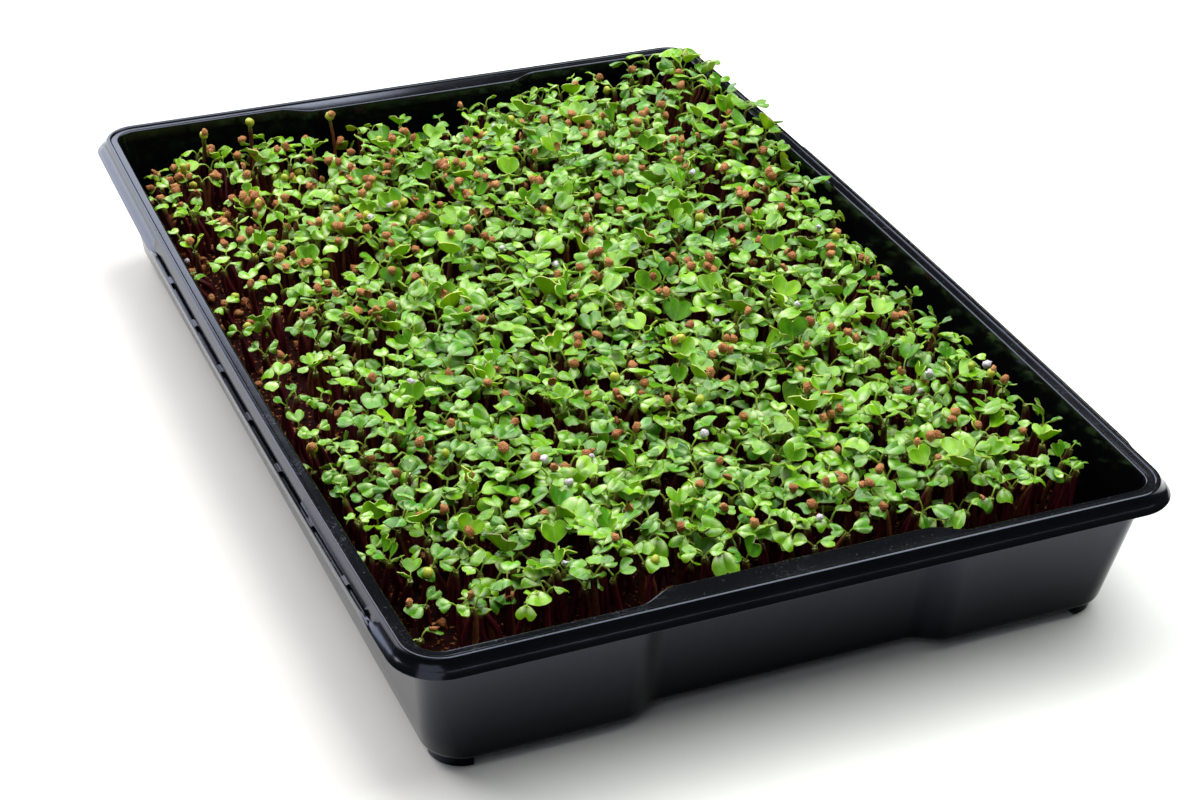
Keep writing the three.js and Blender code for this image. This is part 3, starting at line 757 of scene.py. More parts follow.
def leaf_layers(tree, level, shape):
    """The leaf's colour: its greens, the painted highlight on its domes, its margin, stalk and speckles."""
    layers = {}
    for name, share, first, second in (
            ("dark", shape["tone"], "#2a6a00", "#60a000"), ("light", shape["tone"], "#469a00", "#92c800"),
            # Painted highlight: the pale mint that the tops of the domes are painted with.
            ("mint", shape["tone"], "#a8c486", "#dce0c6"), ("below", shape["tone"], "#7eac00", "#cade20"),
            ("green", level["mottle"], "dark", "light"), ("above", level["painted_sheen"], "green", "mint"),
            ("face", shape["upper"], "below", "above"), ("veined", level["midrib"], "face", "#94bc40"),
            ("rim", level["pale_rim"], "#6e4a30", "#b9c766"), ("rimmed", level["margin"], "veined", "rim"),
            ("stalk", level["stalk_root"], "#8bb23c", "#7c8a34"),
            ("stalked", level["stalk"], "rimmed", "stalk"),
            ("whole", level["speckle"], "stalked", "#b4d46a")):
        ends = [linear(end) if end.startswith("#") else layers[end] for end in (first, second)]
        layers[name] = add(tree, "ShaderNodeMix", {0: share, 6: ends[0], 7: ends[1]},
                           data_type="RGBA").outputs[2]
    return layers["whole"]


def waxy_seed_leaf():
    material, tree, place = new_material("waxy radish seed leaf")
    shape = {name: add(tree, "ShaderNodeAttribute", attribute_name=name).outputs["Fac"]
             for name in ("tone", "upper", "dome", "across", "along", "margin", "stalk")}
    mottle, grain = [
        add(tree, "ShaderNodeTexNoise", {"Vector": place, "Scale": per_mm(size), "Detail": d}).outputs["Fac"]
        for size, d in ((LEAF_MOTTLE, 3.0), (LEAF_GRAIN, 2.0))]
    aside = add(tree, "ShaderNodeMath", {0: shape["across"]}, operation="ABSOLUTE").outputs[0]
    level = {name: add(tree, "ShaderNodeMapRange", dict(enumerate(values))).outputs[0]
             for name, *values in (
                 ("mottle", mottle, 0.35, 0.68), ("waxy", mottle, 0.4, 0.6, 0.15, 1.0),
                 ("dome", shape["dome"], 0.5, 1.0), ("rib_across", aside, 0.02, 0.16, 1.0, 0.0),
                 ("rib_along", shape["along"], 0.15, 0.9, 0.4, 0.0), ("pale_rim", shape["tone"], 0.3, 0.55),
                 ("margin", shape["margin"], 0.55, 1.0, 0.0, 0.75), ("stalk", shape["stalk"], 0.0, 0.25),
                 ("stalk_root", shape["stalk"], 0.5, 1.0), ("speckle", grain, 0.55, 0.8, 0.0, 0.15),
                 ("roughness", mottle, 0.3, 0.7, 0.26, 0.4))}
    # Painted highlight: a pale mint sheen laid on the tops of the leaf's domes, in patches from noise.
    for name, first, second in (("painted_sheen", "dome", "waxy"), ("midrib", "rib_across", "rib_along")):
        level[name] = add(tree, "ShaderNodeMath", {0: level[first], 1: level[second]},
                          operation="MULTIPLY").outputs[0]
    return end_material(material, {
        "Base Color": leaf_layers(tree, level, shape), "Roughness": level["roughness"], "IOR": 1.45,
        "Specular IOR Level": 0.55, "Specular Tint": linear("#fffff4"), "Subsurface Weight": 0.5,
        "Subsurface Radius": (0.7, 1.0, 0.1), "Subsurface Scale": LEAF_BLEED * MM,
        "Coat Weight": 0.16, "Coat Roughness": 0.34}, grain, 0.2, 0.25)


leaf_finish = waxy_seed_leaf()
print("made", leaf_finish.name)

# %% [markdown]
# ## One seed leaf
# A radish seed leaf is a broad heart: a narrow base, two round lobes and a notch between them. Two
# numbers place a point on it, one along the leaf and one across, and short formulas give its width
# and its reach there. Bends across and along turn the flat heart into a dome or a cup, a sine lifts
# its margin, and a shallow crease marks the midrib. The leaf has real thickness, so its edge catches
# light, and only about a hundred faces, because there are nearly three thousand of them.

# %% Seed leaf
LEAF_THICKNESS = 0.35
BLADE_ROWS = np.array([0, 0.28, 0.55, 0.78, 0.94, 1.0])
BLADE_COLUMNS = np.sin(np.pi / 2 * np.linspace(-1, 1, 9))
BLADE_BASE = 0.07
SHOULDER = 0.56
CREST = 0.5
NOTCH_WIDTH = 0.34
CREASE = 0.05
CREASE_WIDTH = 0.3


def blade(width, length, across_bend, along_bend, wave, phase, notch):
    """Points, faces and shape attributes of one seed leaf that grows from the origin along +X."""
    u, v = np.meshgrid(BLADE_ROWS, BLADE_COLUMNS, indexing="ij")
    half = width / 2 * (BLADE_BASE + (1 - BLADE_BASE) * np.sin(np.pi / 2 * u ** 0.85))
    lobes = SHOULDER + (1 - SHOULDER) * np.sqrt(1 - v ** 2)
    reach = length * lobes * (1 - notch * np.exp(-(v / NOTCH_WIDTH) ** 2))
    x, y = u * reach, half * v
    z = across_bend * (np.abs(y) - CREST * half) ** 2 + along_bend * x ** 2
    z = z + wave * (u * np.abs(v)) ** 2 * np.sin(4 * v + phase)
    z = z - CREASE * width * np.exp(-(v / CREASE_WIDTH) ** 2) * np.sin(np.pi * u)
    upper = np.stack([x, y, z], axis=-1)
    normal = np.cross(np.gradient(upper, axis=0), np.gradient(upper, axis=1))
    lower = upper - LEAF_THICKNESS * normal / np.linalg.norm(normal, axis=-1, keepdims=True)
    rows, columns = u.shape
    index = np.arange(rows * columns).reshape(rows, columns)
    below = index + index.size
    faces = []
    for r in range(rows - 1):
        for c in range(columns - 1):
            faces.append((index[r, c], index[r + 1, c], index[r + 1, c + 1], index[r, c + 1]))
            faces.append((below[r, c], below[r, c + 1], below[r + 1, c + 1], below[r + 1, c]))
    loop = [*index[:, 0], *index[-1, 1:], *index[-2::-1, -1], *index[0, -2:0:-1]]
    for a, b in zip(loop, loop[1:] + loop[:1]):
        faces.append((b, a, a + index.size, b + index.size))
    margin = np.isin(index, loop).astype(float)
    height = (z - z.min()) / max(np.ptp(z), 0.01) if across_bend < 0 else 0.6 * (1 - np.abs(v))
    shape = {"upper": [1.0] * index.size + [0.0] * index.size, "margin": [*margin.flat] * 2,
             "along": [*u.flat] * 2, "across": [*v.flat] * 2, "stalk": [0.0] * 2 * index.size,
             "dome": [*(height * (1 - margin)).flat] * 2}
    return np.concatenate([upper.reshape(-1, 3), lower.reshape(-1, 3)]), faces, shape


def tube(path, radii, sides):
    """Points and faces of a closed tube along a path."""
    path = np.asarray(path, float)
    points = []
    for i, centre in enumerate(path):
        ahead = Vector(path[min(i + 1, len(path) - 1)] - path[max(i - 1, 0)])
        turn = ahead.to_track_quat("Z", "Y")
        for angle in np.arange(sides) * math.tau / sides:
            points.append(Vector(centre) + turn @ Vector((math.cos(angle), math.sin(angle), 0)) * radii[i])
    faces = quads_between(len(path), sides)
    faces += [tuple(reversed(range(sides))), tuple(range(len(points) - sides, len(points)))]
    return points, faces


print("a leaf is drawn from", 2 * len(BLADE_ROWS) * len(BLADE_COLUMNS), "points")

# %% [markdown]
# ## A pair of seed leaves
# Every seedling carries two leaves on short stalks, one larger than the other, because they were
# folded one inside the other in the seed. Most pairs lie open and domed, some are still cupped and
# stand up, and some droop. Sixteen pairs are enough: each is used about ninety times, but never
# with the same turn, lean, size and tone.

# %% Leaf pairs
PAIR_SEED = 11
BLADE_WIDTH = (6.9, 9.8)
SMALLER_LEAF = (0.72, 0.92)
LENGTH_TO_WIDTH = (0.74, 0.86)
MARGIN_WAVE = (0.6, 1.7)
NOTCH_DEPTH = (0.2, 0.44)
PAIR_SPREAD = 0.16
LEAF_ROLL = 0.14
STALK_LENGTH = (2.6, 4.2)
STALK_RISE = math.radians(75)
STALK_SIDES = 4
STALK_RADII = (0.36, 0.33, 0.32, 0.18)
STALK_SHADES = (1.0, 0.8, 0.5, 0.3)
LEAF_SHARP_TURN = math.radians(60)
HABITS = {
    "open": {"pitch": (16, 44), "across": (-0.42, -0.2), "along": (-0.13, -0.05), "count": 10},
    "cupped": {"pitch": (38, 64), "across": (0.12, 0.24), "along": (-0.05, 0.03), "count": 3},
    "drooping": {"pitch": (-24, 10), "across": (-0.32, -0.14), "along": (-0.1, -0.05), "count": 3},
}


def leaf_stalk(base, tip):
    """A stalk from the crown to its leaf, and the shape attributes of its four rings."""
    path = [Vector((0, 0, -0.5)), base * 0.5 + Vector((0, 0, 0.25)), base, tip]
    points, faces = tube(path, STALK_RADII, STALK_SIDES)
    even = {"upper": 0.3, "margin": 0.0, "along": 0.0, "across": 1.0, "dome": 0.0}
    shape = {key: [value] * len(points) for key, value in even.items()}
    shape["stalk"] = list(np.repeat(STALK_SHADES, STALK_SIDES))
    return points, faces, shape


def leaf_pair(name, habit, rng):
    """One pair of leaves on their stalks, as its habit says, grown from the origin."""
    points, faces = [], []
    shapes = {key: [] for key in ("upper", "margin", "along", "across", "stalk", "dome")}
    width = rng.uniform(*BLADE_WIDTH)
    for side in (0, 1):
        size = width * (rng.uniform(*SMALLER_LEAF) if side else 1)
        flat, quads, shape = blade(
            size, size * rng.uniform(*LENGTH_TO_WIDTH), rng.uniform(*habit["across"]),
            rng.uniform(*habit["along"]), rng.uniform(*MARGIN_WAVE), rng.uniform(0, math.tau),
            rng.uniform(*NOTCH_DEPTH))
        heading = math.pi * side + rng.normal(0, PAIR_SPREAD)
        pitch = math.radians(rng.uniform(*habit["pitch"]))
        rise = (pitch + STALK_RISE) / 2
        reach = rng.uniform(*STALK_LENGTH)
        out = Vector((math.cos(heading) * math.cos(rise), math.sin(heading) * math.cos(rise), math.sin(rise)))
        turn = Euler((rng.normal(0, LEAF_ROLL), -pitch, heading)).to_matrix()
        base = out * reach
        leaf = ([turn @ Vector(p) + base for p in flat], quads, shape)
        stalk = leaf_stalk(base, base + turn @ Vector((0.8, 0, -LEAF_THICKNESS / 2)))
        for new_points, new_faces, values in (leaf, stalk):
            faces += [tuple(int(i) + len(points) for i in face) for face in new_faces]
            points += [tuple(p) for p in new_points]
            for key in shapes:
                shapes[key] += values[key]
    pair = mesh_object(name, points, faces)
    for key, values in shapes.items():
        set_attribute(pair.data, key, values)
    crease(pair, LEAF_SHARP_TURN)
    return pair


def kinds_collection(name, kinds):
    """A collection that holds the kinds of a piece that a node tree picks from."""
    collection = bpy.data.collections.new(name)
    scene.collection.children.link(collection)
    for kind in kinds:
        scene.collection.objects.unlink(kind)
        collection.objects.link(kind)
    return collection


def clear_kinds(collection):
    """Takes the kinds away, once their copies are real."""
    for kind in list(collection.objects):
        bpy.data.objects.remove(kind)
    bpy.data.collections.remove(collection)


pair_rng = np.random.default_rng(PAIR_SEED)
habit_list = [habit for habit in HABITS.values() for _ in range(habit["count"])]
pairs = [leaf_pair(f"pair_{i:02d}", habit, pair_rng) for i, habit in enumerate(habit_list)]
pair_kinds = kinds_collection("leaf_pairs", pairs)
print("made", len(pairs), "leaf pairs of", len(pairs[0].data.polygons), "faces")

# %% [markdown]
# ## Where the seedlings stand
# Seed is strewn by hand, so its places are random but never on top of each other. Dart throwing gives
# just that: a random place is kept if no seedling stands too near. The crop is thinner along the left
# wall, where patches of bare stems show, and the canopy is lowest at the back left and highest at the
# back right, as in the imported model.

# %% Places of the seedlings
STAND_SEED = 23
STAND_HALF_X = 108.0
STAND_FRONT = -149.0
STAND_BACK = 166.0
STAND_GAP = 5.0
PATCH_GAP = 1.5
THROWS = 24000
PANEL_CLEARANCE = 6.5
BED_HALF_X = RIM_WIDTH / 2 - LEDGE_WIDTH
BED_HALF_Y = RIM_LENGTH / 2 - LEDGE_WIDTH
CANOPY = {"front_left": 44, "front_right": 44, "back_left": 38, "back_right": 52}
CANOPY_DOME = 1.5
CANOPY_WAVE = 1.2
LEAVES_ABOVE_CROWN = 4.0
SPARSE_PATCHES = [(-104, 104, 12), (-103, 72, 13), (-102, 47, 14), (-103, 20, 11), (-101, -3, 10),
                  (-98, -24, 9), (-60, 118, 12), (-84, 140, 10), (-66, 60, 10), (-40, 150, 12),
                  (-74, 4, 8), (8, 158, 10), (-106, -138, 9), (-34, -146, 8), (30, -146, 8)]


def canopy_height(x, y):
    """The height of the leaves at a place, from the four corners of the crop."""
    right = (1 + x / BED_HALF_X) / 2
    back = (1 + y / BED_HALF_Y) / 2
    front = CANOPY["front_left"] + (CANOPY["front_right"] - CANOPY["front_left"]) * right
    rear = CANOPY["back_left"] + (CANOPY["back_right"] - CANOPY["back_left"]) * right
    dome = CANOPY_DOME * np.sin(np.pi * right) * np.sin(np.pi * back)
    return front + (rear - front) * back + dome + CANOPY_WAVE * np.sin(x / 31 + y / 47)


def sparseness(x, y):
    """How thin the crop is at a place, from 0 where it is dense to about 1 in a bare patch."""
    return max(math.exp(-((x - px) ** 2 + (y - py) ** 2) / r ** 2) for px, py, r in SPARSE_PATCHES)


def beyond_panel(x, y, clearance):
    """Whether a place is in the strip that the stepped-in panels take from both short sides."""
    return abs(x) < RECESS_START + 4 and abs(y) > BED_HALF_Y - RECESS - clearance


def strewn(rng, tries, gap):
    """Random places, none nearer to another than the gap, which widens in the sparse patches."""
    kept = np.empty((0, 2))
    for x, y in rng.uniform((-STAND_HALF_X, STAND_FRONT), (STAND_HALF_X, STAND_BACK), (tries, 2)):
        if beyond_panel(x, y, PANEL_CLEARANCE):
            continue
        room = gap * (1 + PATCH_GAP * sparseness(x, y))
        if len(kept) == 0 or np.min(np.sum((kept - (x, y)) ** 2, axis=1)) > room ** 2:
            kept = np.vstack([kept, (x, y)])
    return kept


stand_rng = np.random.default_rng(STAND_SEED)
roots = strewn(stand_rng, THROWS, STAND_GAP)
print("sown", len(roots), "seedlings")

# %% [markdown]
# ## Room between the walls
# Leaves and stems that grow against a wall bend along it. `kept_inside` does that to any points: those
# within a few millimetres of a wall are pushed back softly, the more the nearer they come, so that none
# ever passes it. The room shrinks with depth, because the walls taper, and along the panels. Above the
# rim it widens, so that a leaf can hang over.

# %% Room between the walls
WALL_GAP = 0.3
WALL_SOFTNESS = 3.0
OVER_RIM_FADE = 2.5
OVER_RIM_ROOM = 12.0


def kept_inside(points, gap=WALL_GAP):
    """The points, in millimetres, pushed back from the tray's walls."""
    points = np.array(points, float)
    x, y, z = points.T
    over = OVER_RIM_ROOM * smooth_step((z - RIM_HEIGHT) / OVER_RIM_FADE)
    inset = wall_inset(np.minimum(z, RIM_HEIGHT)) + WALL + gap - over
    panel = RECESS * smooth_step((RECESS_START - np.abs(x)) / (RECESS_START - RECESS_FULL))
    for axis, limit in ((0, RIM_WIDTH / 2 - inset), (1, RIM_LENGTH / 2 - inset - panel)):
        reach = np.abs(points[:, axis])
        past = np.maximum(reach - limit + WALL_SOFTNESS, 0) / WALL_SOFTNESS
        bent = limit - WALL_SOFTNESS * np.exp(-past)
        points[:, axis] = np.sign(points[:, axis]) * np.where(past > 0, bent, reach)
    return points


def bend_inside(piece):
    """Pushes every point of a finished piece back from the walls."""
    vertices = piece.data.vertices
    points = np.empty(3 * len(vertices), np.float32)
    vertices.foreach_get("co", points)
    vertices.foreach_set("co", (kept_inside(points.reshape(-1, 3) / MM) * MM).astype(np.float32).ravel())
    piece.data.update()


print("at the rim there is room for", kept_inside([(200, 0, 50)]).round(1).tolist())

# %% [markdown]
# ## The lines of the stems
# Each stem runs from the medium to the crown, where the two leaves part, in a slack curve. Near a
# wall it leans towards the light over the rim, and at the back right the crop hangs over the rim.
# Radish is sown so thickly that the stems stand in clumps, so each seedling gets a companion: a
# thinner stem that leans on the same crown. A line is enough to say where a stem runs.

# %% Lines of the stems
STEM_STATIONS = 6
STEM_ROOT_DEPTH = 2.0
STEM_SWAY = 1.3
STEM_RADIUS = (0.4, 0.6)
STEM_SWELL = 1.15
TAPER = 0.48
COMPANION_TAPER = 0.85
COMPANION_GAP = (1.4, 3.2)
COMPANION_DROP = (0.3, 0.9)
COMPANION_LEAN = 0.1
CROWN_SCATTER = 2.3
LEAN = 3.0
LEAN_SCATTER = 1.6
LEAN_FADE = 25.0
LEAN_START_X = 85.0
LEAN_START_Y = 140.0
SHORT_SHARE = 0.24
SHORT_BY = (4, 9)
OVER_RIM = 8.0
OVER_RIM_RISE = 2.0
OVER_RIM_START = (70.0, -20.0)
OVER_RIM_SPAN = (35.0, 120.0)


def over_rim_share(x, y):
    """How far the crop leans over the rim at a place: 1 along the back half of the right wall."""
    along_x, along_y = [(place - start) / span for place, start, span in zip(
        (x, y), OVER_RIM_START, OVER_RIM_SPAN)]
    return smooth_step(along_x) * smooth_step(along_y)


def crowns_of(roots, rng):
    """The crown above each root, where the leaves part from the stem."""
    crowns = []
    for x, y in roots:
        lean_x = LEAN * smooth_step((abs(x) - LEAN_START_X) / LEAN_FADE) * math.copysign(1, x)
        lean_x += rng.normal(0, LEAN_SCATTER)
        lean_y = LEAN * smooth_step((y - LEAN_START_Y) / LEAN_FADE) + rng.normal(0, LEAN_SCATTER)
        over_rim = over_rim_share(x, y)
        lean_x += OVER_RIM * over_rim
        x2 = min(max(x + lean_x, -STAND_HALF_X - 2), STAND_HALF_X + 3 + OVER_RIM * over_rim)
        y2 = min(max(y + lean_y, STAND_FRONT - 2), STAND_BACK + 1)
        z = canopy_height(x2, y2) - LEAVES_ABOVE_CROWN + rng.uniform(-CROWN_SCATTER, CROWN_SCATTER)
        z += OVER_RIM_RISE * over_rim
        if rng.random() < SHORT_SHARE:
            z -= rng.uniform(*SHORT_BY)
        crowns.append((x2, y2, z))
    return np.array(crowns)


def companions(roots, crowns, rng):
    """A second, thinner stem beside each: late seedlings that end just under the first one's crown."""
    turns = rng.uniform(0, math.tau, len(roots))
    gaps = rng.uniform(*COMPANION_GAP, len(roots))
    beside = np.array(roots) + np.stack([np.cos(turns), np.sin(turns)], axis=1) * gaps[:, None]
    beside = np.clip(beside, (-STAND_HALF_X, STAND_FRONT), (STAND_HALF_X, STAND_BACK))
    tops = crowns.copy()
    tops[:, :2] += (beside - np.array(roots)) * COMPANION_LEAN
    tops[:, 2] -= rng.uniform(*COMPANION_DROP, len(roots))
    return beside, tops


def stem_lines(roots, crowns, rng, tapers=None):
    """A mesh of lines, one for each stem, with a radius, a height and a tone at every point."""
    points, edges, radius, rise, tone = [], [], [], [], []
    t = np.linspace(0, 1, STEM_STATIONS)
    if tapers is None:
        tapers = [TAPER] * len(roots)
    for (x, y), crown, taper in zip(roots, crowns, tapers):
        sway = rng.normal(0, STEM_SWAY, 2)
        start = len(points)
        foot = np.array([x, y, MEDIUM_TOP - STEM_ROOT_DEPTH])
        line = foot + (crown - foot) * t[:, None]
        line[:, :2] += np.sin(np.pi * t)[:, None] * sway + (smooth_step(t) - t)[:, None] * (crown - foot)[:2]
        points += list(line * MM)
        edges += [(start + k, start + k + 1) for k in range(STEM_STATIONS - 1)]
        radius += list(rng.uniform(*STEM_RADIUS) * (STEM_SWELL - taper * t))
        rise += list(t)
        tone += [rng.random()] * STEM_STATIONS
    lines = bpy.data.meshes.new("stem_lines")
    lines.from_pydata(points, edges, [])
    for name, values in (("radius_mm", radius), ("rise", rise), ("tone", tone)):
        set_attribute(lines, name, values)
    return lines


crowns = crowns_of(roots, stand_rng)
more_roots, more_tops = companions(roots, crowns, stand_rng)
print("the tallest crown stands at", round(max(crowns[:, 2]), 1), "mm")

# %% [markdown]
# ## Stems
# Radish stems are thin, crimson where the light reaches them and brown or greenish near the crown. A
# node tree turns the lines into tubes: mesh edges become curves, curves take their radius from a
# stored attribute, and a four-sided profile is enough for a stem about a millimetre thick.

# %% Stems
STEM_SIDES = 4
STEM_STREAK = 1.6


def stem_tree():
    tree, given = new_tree("stems along lines", {
        "Thickness": "NodeSocketFloat", "Finish": "NodeSocketMaterial"})
    path = add(tree, "GeometryNodeMeshToCurve", {"Mesh": given["Geometry"]}).outputs[0]
    radius = add(tree, "GeometryNodeInputNamedAttribute", {"Name": "radius_mm"}, data_type="FLOAT").outputs[0]
    thick = add(tree, "GeometryNodeSetCurveRadius", {"Curve": path, "Radius": radius}).outputs[0]
    profile = add(tree, "GeometryNodeCurvePrimitiveCircle", {
        "Resolution": STEM_SIDES, "Radius": given["Thickness"]}).outputs[0]
    tubes = add(tree, "GeometryNodeCurveToMesh", {
        "Curve": thick, "Profile Curve": profile, "Fill Caps": True}).outputs[0]
    return end_tree(tree, tubes, given["Finish"])


def stem_skin():
    material, tree, place = new_material("radish stem skin")
    rise, tone = [add(tree, "ShaderNodeAttribute", attribute_name=name).outputs["Fac"]
                  for name in ("rise", "tone")]
    streaks = add(tree, "ShaderNodeTexNoise", {
        "Vector": place, "Scale": per_mm(STEM_STREAK), "Detail": 3.0}).outputs["Fac"]
    brown = add(tree, "ShaderNodeMapRange", {0: tone, 1: 0.7, 2: 0.8}).outputs[0]
    near_crown = add(tree, "ShaderNodeMapRange", {0: rise, 1: 0.91, 2: 1.0, 3: 0.0, 4: 0.7}).outputs[0]
    colour = linear("#5e0d20")
    for share, over in ((brown, "#86502a"), (streaks, "#2c0a0f"), (near_crown, "#7f9038")):
        colour = add(tree, "ShaderNodeMix", {0: share, 6: colour, 7: linear(over)},
                     data_type="RGBA").outputs[2]
    return end_material(material, {
        "Base Color": colour, "Roughness": 0.42, "Subsurface Weight": 0.15,
        "Subsurface Radius": (1.0, 0.3, 0.2), "Subsurface Scale": LEAF_BLEED * MM}, streaks, 0.2, 0.3)


def grown_stems(name, lines, growth, thickness_mm):
    """The tubes along a mesh of lines, kept inside the walls."""
    piece = run_tree(name, lines, growth, {"Thickness": thickness_mm * MM, "Finish": stem_finish})
    bend_inside(piece)
    shade(piece.data)
    return piece


stem_finish = stem_skin()
stem_growth = stem_tree()
tapers = np.repeat([TAPER, COMPANION_TAPER], len(roots))
all_stems = stem_lines(np.vstack([roots, more_roots]), np.vstack([crowns, more_tops]), stand_rng, tapers)
stems = grown_stems("stems", all_stems, stem_growth, 1.0)
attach(stems, "root")
print("made", 2 * len(roots), "stems with", len(stems.data.polygons), "faces")

# %% [markdown]
# ## Leaves on the crowns
# One point stands for each crown, with four stored values: which pair it carries, how it is turned,
# its size and its tone. The node tree picks the pair, places it and makes it real. The crop is split
# in six pieces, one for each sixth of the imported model's greens, so each stays a light mesh.

# %% Leaves
PAIR_SIZE = (0.82, 1.12)
EDGE_SIZE = 0.72
EDGE_ZONE = 45.0
YOUNG_MIDDLE = (-100.0, 120.0)
YOUNG_SPREAD = (75.0, 95.0)
LEAF_TILT = 0.2
WALL_ZONE = 12.0
WALL_SPREAD = 0.5
WALL_TILT = 0.22
TILT_START = (90.0, 140.0)
TILT_FADE = (20.0, 22.0)
YOUNG_TONE = 0.55
TONE_SPREAD_LOST = 0.45
SIXTHS = {"front": (-200, -BED_HALF_Y / 3), "middle": (-BED_HALF_Y / 3, BED_HALF_Y / 3),
          "back": (BED_HALF_Y / 3, 200)}


def scatter_tree():
    """A tree that puts one of several kinds on each point, as the point's attributes say."""
    tree, given = new_tree("kinds on points", {
        "Kinds": "NodeSocketCollection", "Finish": "NodeSocketMaterial"})
    kinds = add(tree, "GeometryNodeCollectionInfo", {
        "Collection": given["Kinds"], "Separate Children": True, "Reset Children": True})
    stored = {name: add(tree, "GeometryNodeInputNamedAttribute", {"Name": name}, data_type=kind).outputs[0]
              for name, kind in (("kind", "INT"), ("turn", "FLOAT_VECTOR"), ("size", "FLOAT"))}
    copies = add(tree, "GeometryNodeInstanceOnPoints", {
        "Points": given["Geometry"], "Instance": kinds.outputs[0], "Pick Instance": True,
        "Instance Index": stored["kind"], "Rotation": stored["turn"], "Scale": stored["size"]})
    return end_tree(tree, copies.outputs[0], given["Finish"])


def point_mesh(name, places_mm, kinds, turns, sizes, tones):
    """A mesh of bare points, each with the kind, turn, size and tone of what grows there."""
    mesh = bpy.data.meshes.new(name)
    mesh.from_pydata([tuple(Vector(p) * MM) for p in places_mm], [], [])
    set_attribute(mesh, "kind", kinds, "INT")
    set_attribute(mesh, "turn", [tuple(t) for t in turns], "FLOAT_VECTOR")
    set_attribute(mesh, "size", sizes)
    set_attribute(mesh, "tone", tones)
    return mesh


def vigour(x, y):
    """How large the leaves grow at a place: full size in the middle, smaller near the walls."""
    room = min(BED_HALF_X - abs(x), BED_HALF_Y - abs(y), (x + BED_HALF_X) * 0.7)
    grown = max(smooth_step(room / EDGE_ZONE), over_rim_share(x, y))
    return EDGE_SIZE + (1 - EDGE_SIZE) * grown


def youth(x, y):
    """How young the crop is at a place: 1 at the back left corner, fading to nothing."""
    away = [(place - middle) / spread for place, middle, spread in zip((x, y), YOUNG_MIDDLE, YOUNG_SPREAD)]
    return math.exp(-(away[0] ** 2 + away[1] ** 2))


def leaf_turn(x, y, rng):
    """The turn of a leaf pair: a random heading, kept along a wall near it, then a small lean."""
    heading = rng.uniform(0, math.tau)
    if BED_HALF_X - abs(x) < WALL_ZONE:
        heading = math.pi / 2 + rng.normal(0, WALL_SPREAD)
    elif BED_HALF_Y - RECESS - abs(y) < WALL_ZONE:
        heading = rng.normal(0, WALL_SPREAD)
    outwards = Vector((0, 0, 0))
    for axis, place in enumerate((x, y)):
        near = smooth_step((abs(place) - TILT_START[axis]) / TILT_FADE[axis])
        outwards[axis] = near * math.copysign(1, place)
    lean = Vector((rng.normal(0, LEAF_TILT), rng.normal(0, LEAF_TILT), 0)) + outwards * WALL_TILT
    up = (Vector((0, 0, 1)) + lean).normalized()
    return (up.to_track_quat("Z", "Y").to_matrix() @ Matrix.Rotation(heading, 3, "Z")).to_euler()


def leaf_tone(x, y, rng):
    """A tone from deep green at 0 to yellow-green at 1, the yellower the younger the crop."""
    young = youth(x, y)
    return rng.random() * (1 - TONE_SPREAD_LOST * young) + YOUNG_TONE * young


scatter = scatter_tree()
leaf_pieces = []
for row, (front, back) in SIXTHS.items():
    for column, side in (("left", -1), ("right", 1)):
        here = [c for c in crowns if front <= c[1] < back and (c[0] >= 0) == (side > 0)]
        crown_points = point_mesh(
            f"crowns_{row}_{column}", here, stand_rng.integers(0, len(pairs), len(here)),
            [leaf_turn(x, y, stand_rng) for x, y, _ in here],
            [vigour(x, y) * stand_rng.uniform(*PAIR_SIZE) for x, y, _ in here],
            [leaf_tone(x, y, stand_rng) for x, y, _ in here])
        leaves = run_tree(f"leaves_{row}_{column}", crown_points, scatter,
                          {"Kinds": pair_kinds, "Finish": leaf_finish})
        bend_inside(leaves)
        leaf_pieces.append(leaves)
        print(leaves.name, "has", len(here), "seedlings and", len(leaves.data.polygons), "faces")
        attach(leaves, "root")
        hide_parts(f"greens_{row}_{column}")
clear_kinds(pair_kinds)

# %% [markdown]
# ## What lies on the leaves
# Seed coats are pushed up by the crop and stay where they drop, so each one must touch the leaf below
# it. A ray cast straight down on the finished leaves finds that spot. `rest_on_crop` returns it, or
# the medium's top where the ray falls through a gap. The same node tree as for the leaves then sets
# small things out on such spots, so `set_out` serves the coats, the buds, their caps and the grains.

# %% Resting places
ANY_TURN = ((0, 0, 0), (math.tau,) * 3)
UPRIGHT = ((-0.5, -0.5, 0), (0.5, 0.5, math.tau))


def crop_trees(pieces):
    """A search tree for each piece of the crop, ready for rays."""
    depsgraph = bpy.context.evaluated_depsgraph_get()
    return [BVHTree.FromObject(piece, depsgraph) for piece in pieces]


def rest_on_crop(trees, x, y):
    """The highest point of the crop at a place, in millimetres, and the direction the surface faces."""
    best, facing = None, Vector((0, 0, 1))
    for tree in trees:
        spot, normal, _, _ = tree.ray_cast(Vector((x, y, 90)) * MM, Vector((0, 0, -1)))
        if spot and (best is None or spot.z > best.z):
            best, facing = spot, normal
    if best is None:
        return Vector((x, y, MEDIUM_TOP)), Vector((0, 0, 1))
    return best / MM, facing


def laid(spots, radius, sink):
    """The centres of round things that lie on the crop at the given places."""
    places = []
    for x, y in spots:
        spot, facing = rest_on_crop(crop, x, y)
        places.append(spot + Vector((0, 0, radius - sink)) + facing * 0.2)
    return [Vector(p) for p in kept_inside(places, radius + WALL_GAP)]


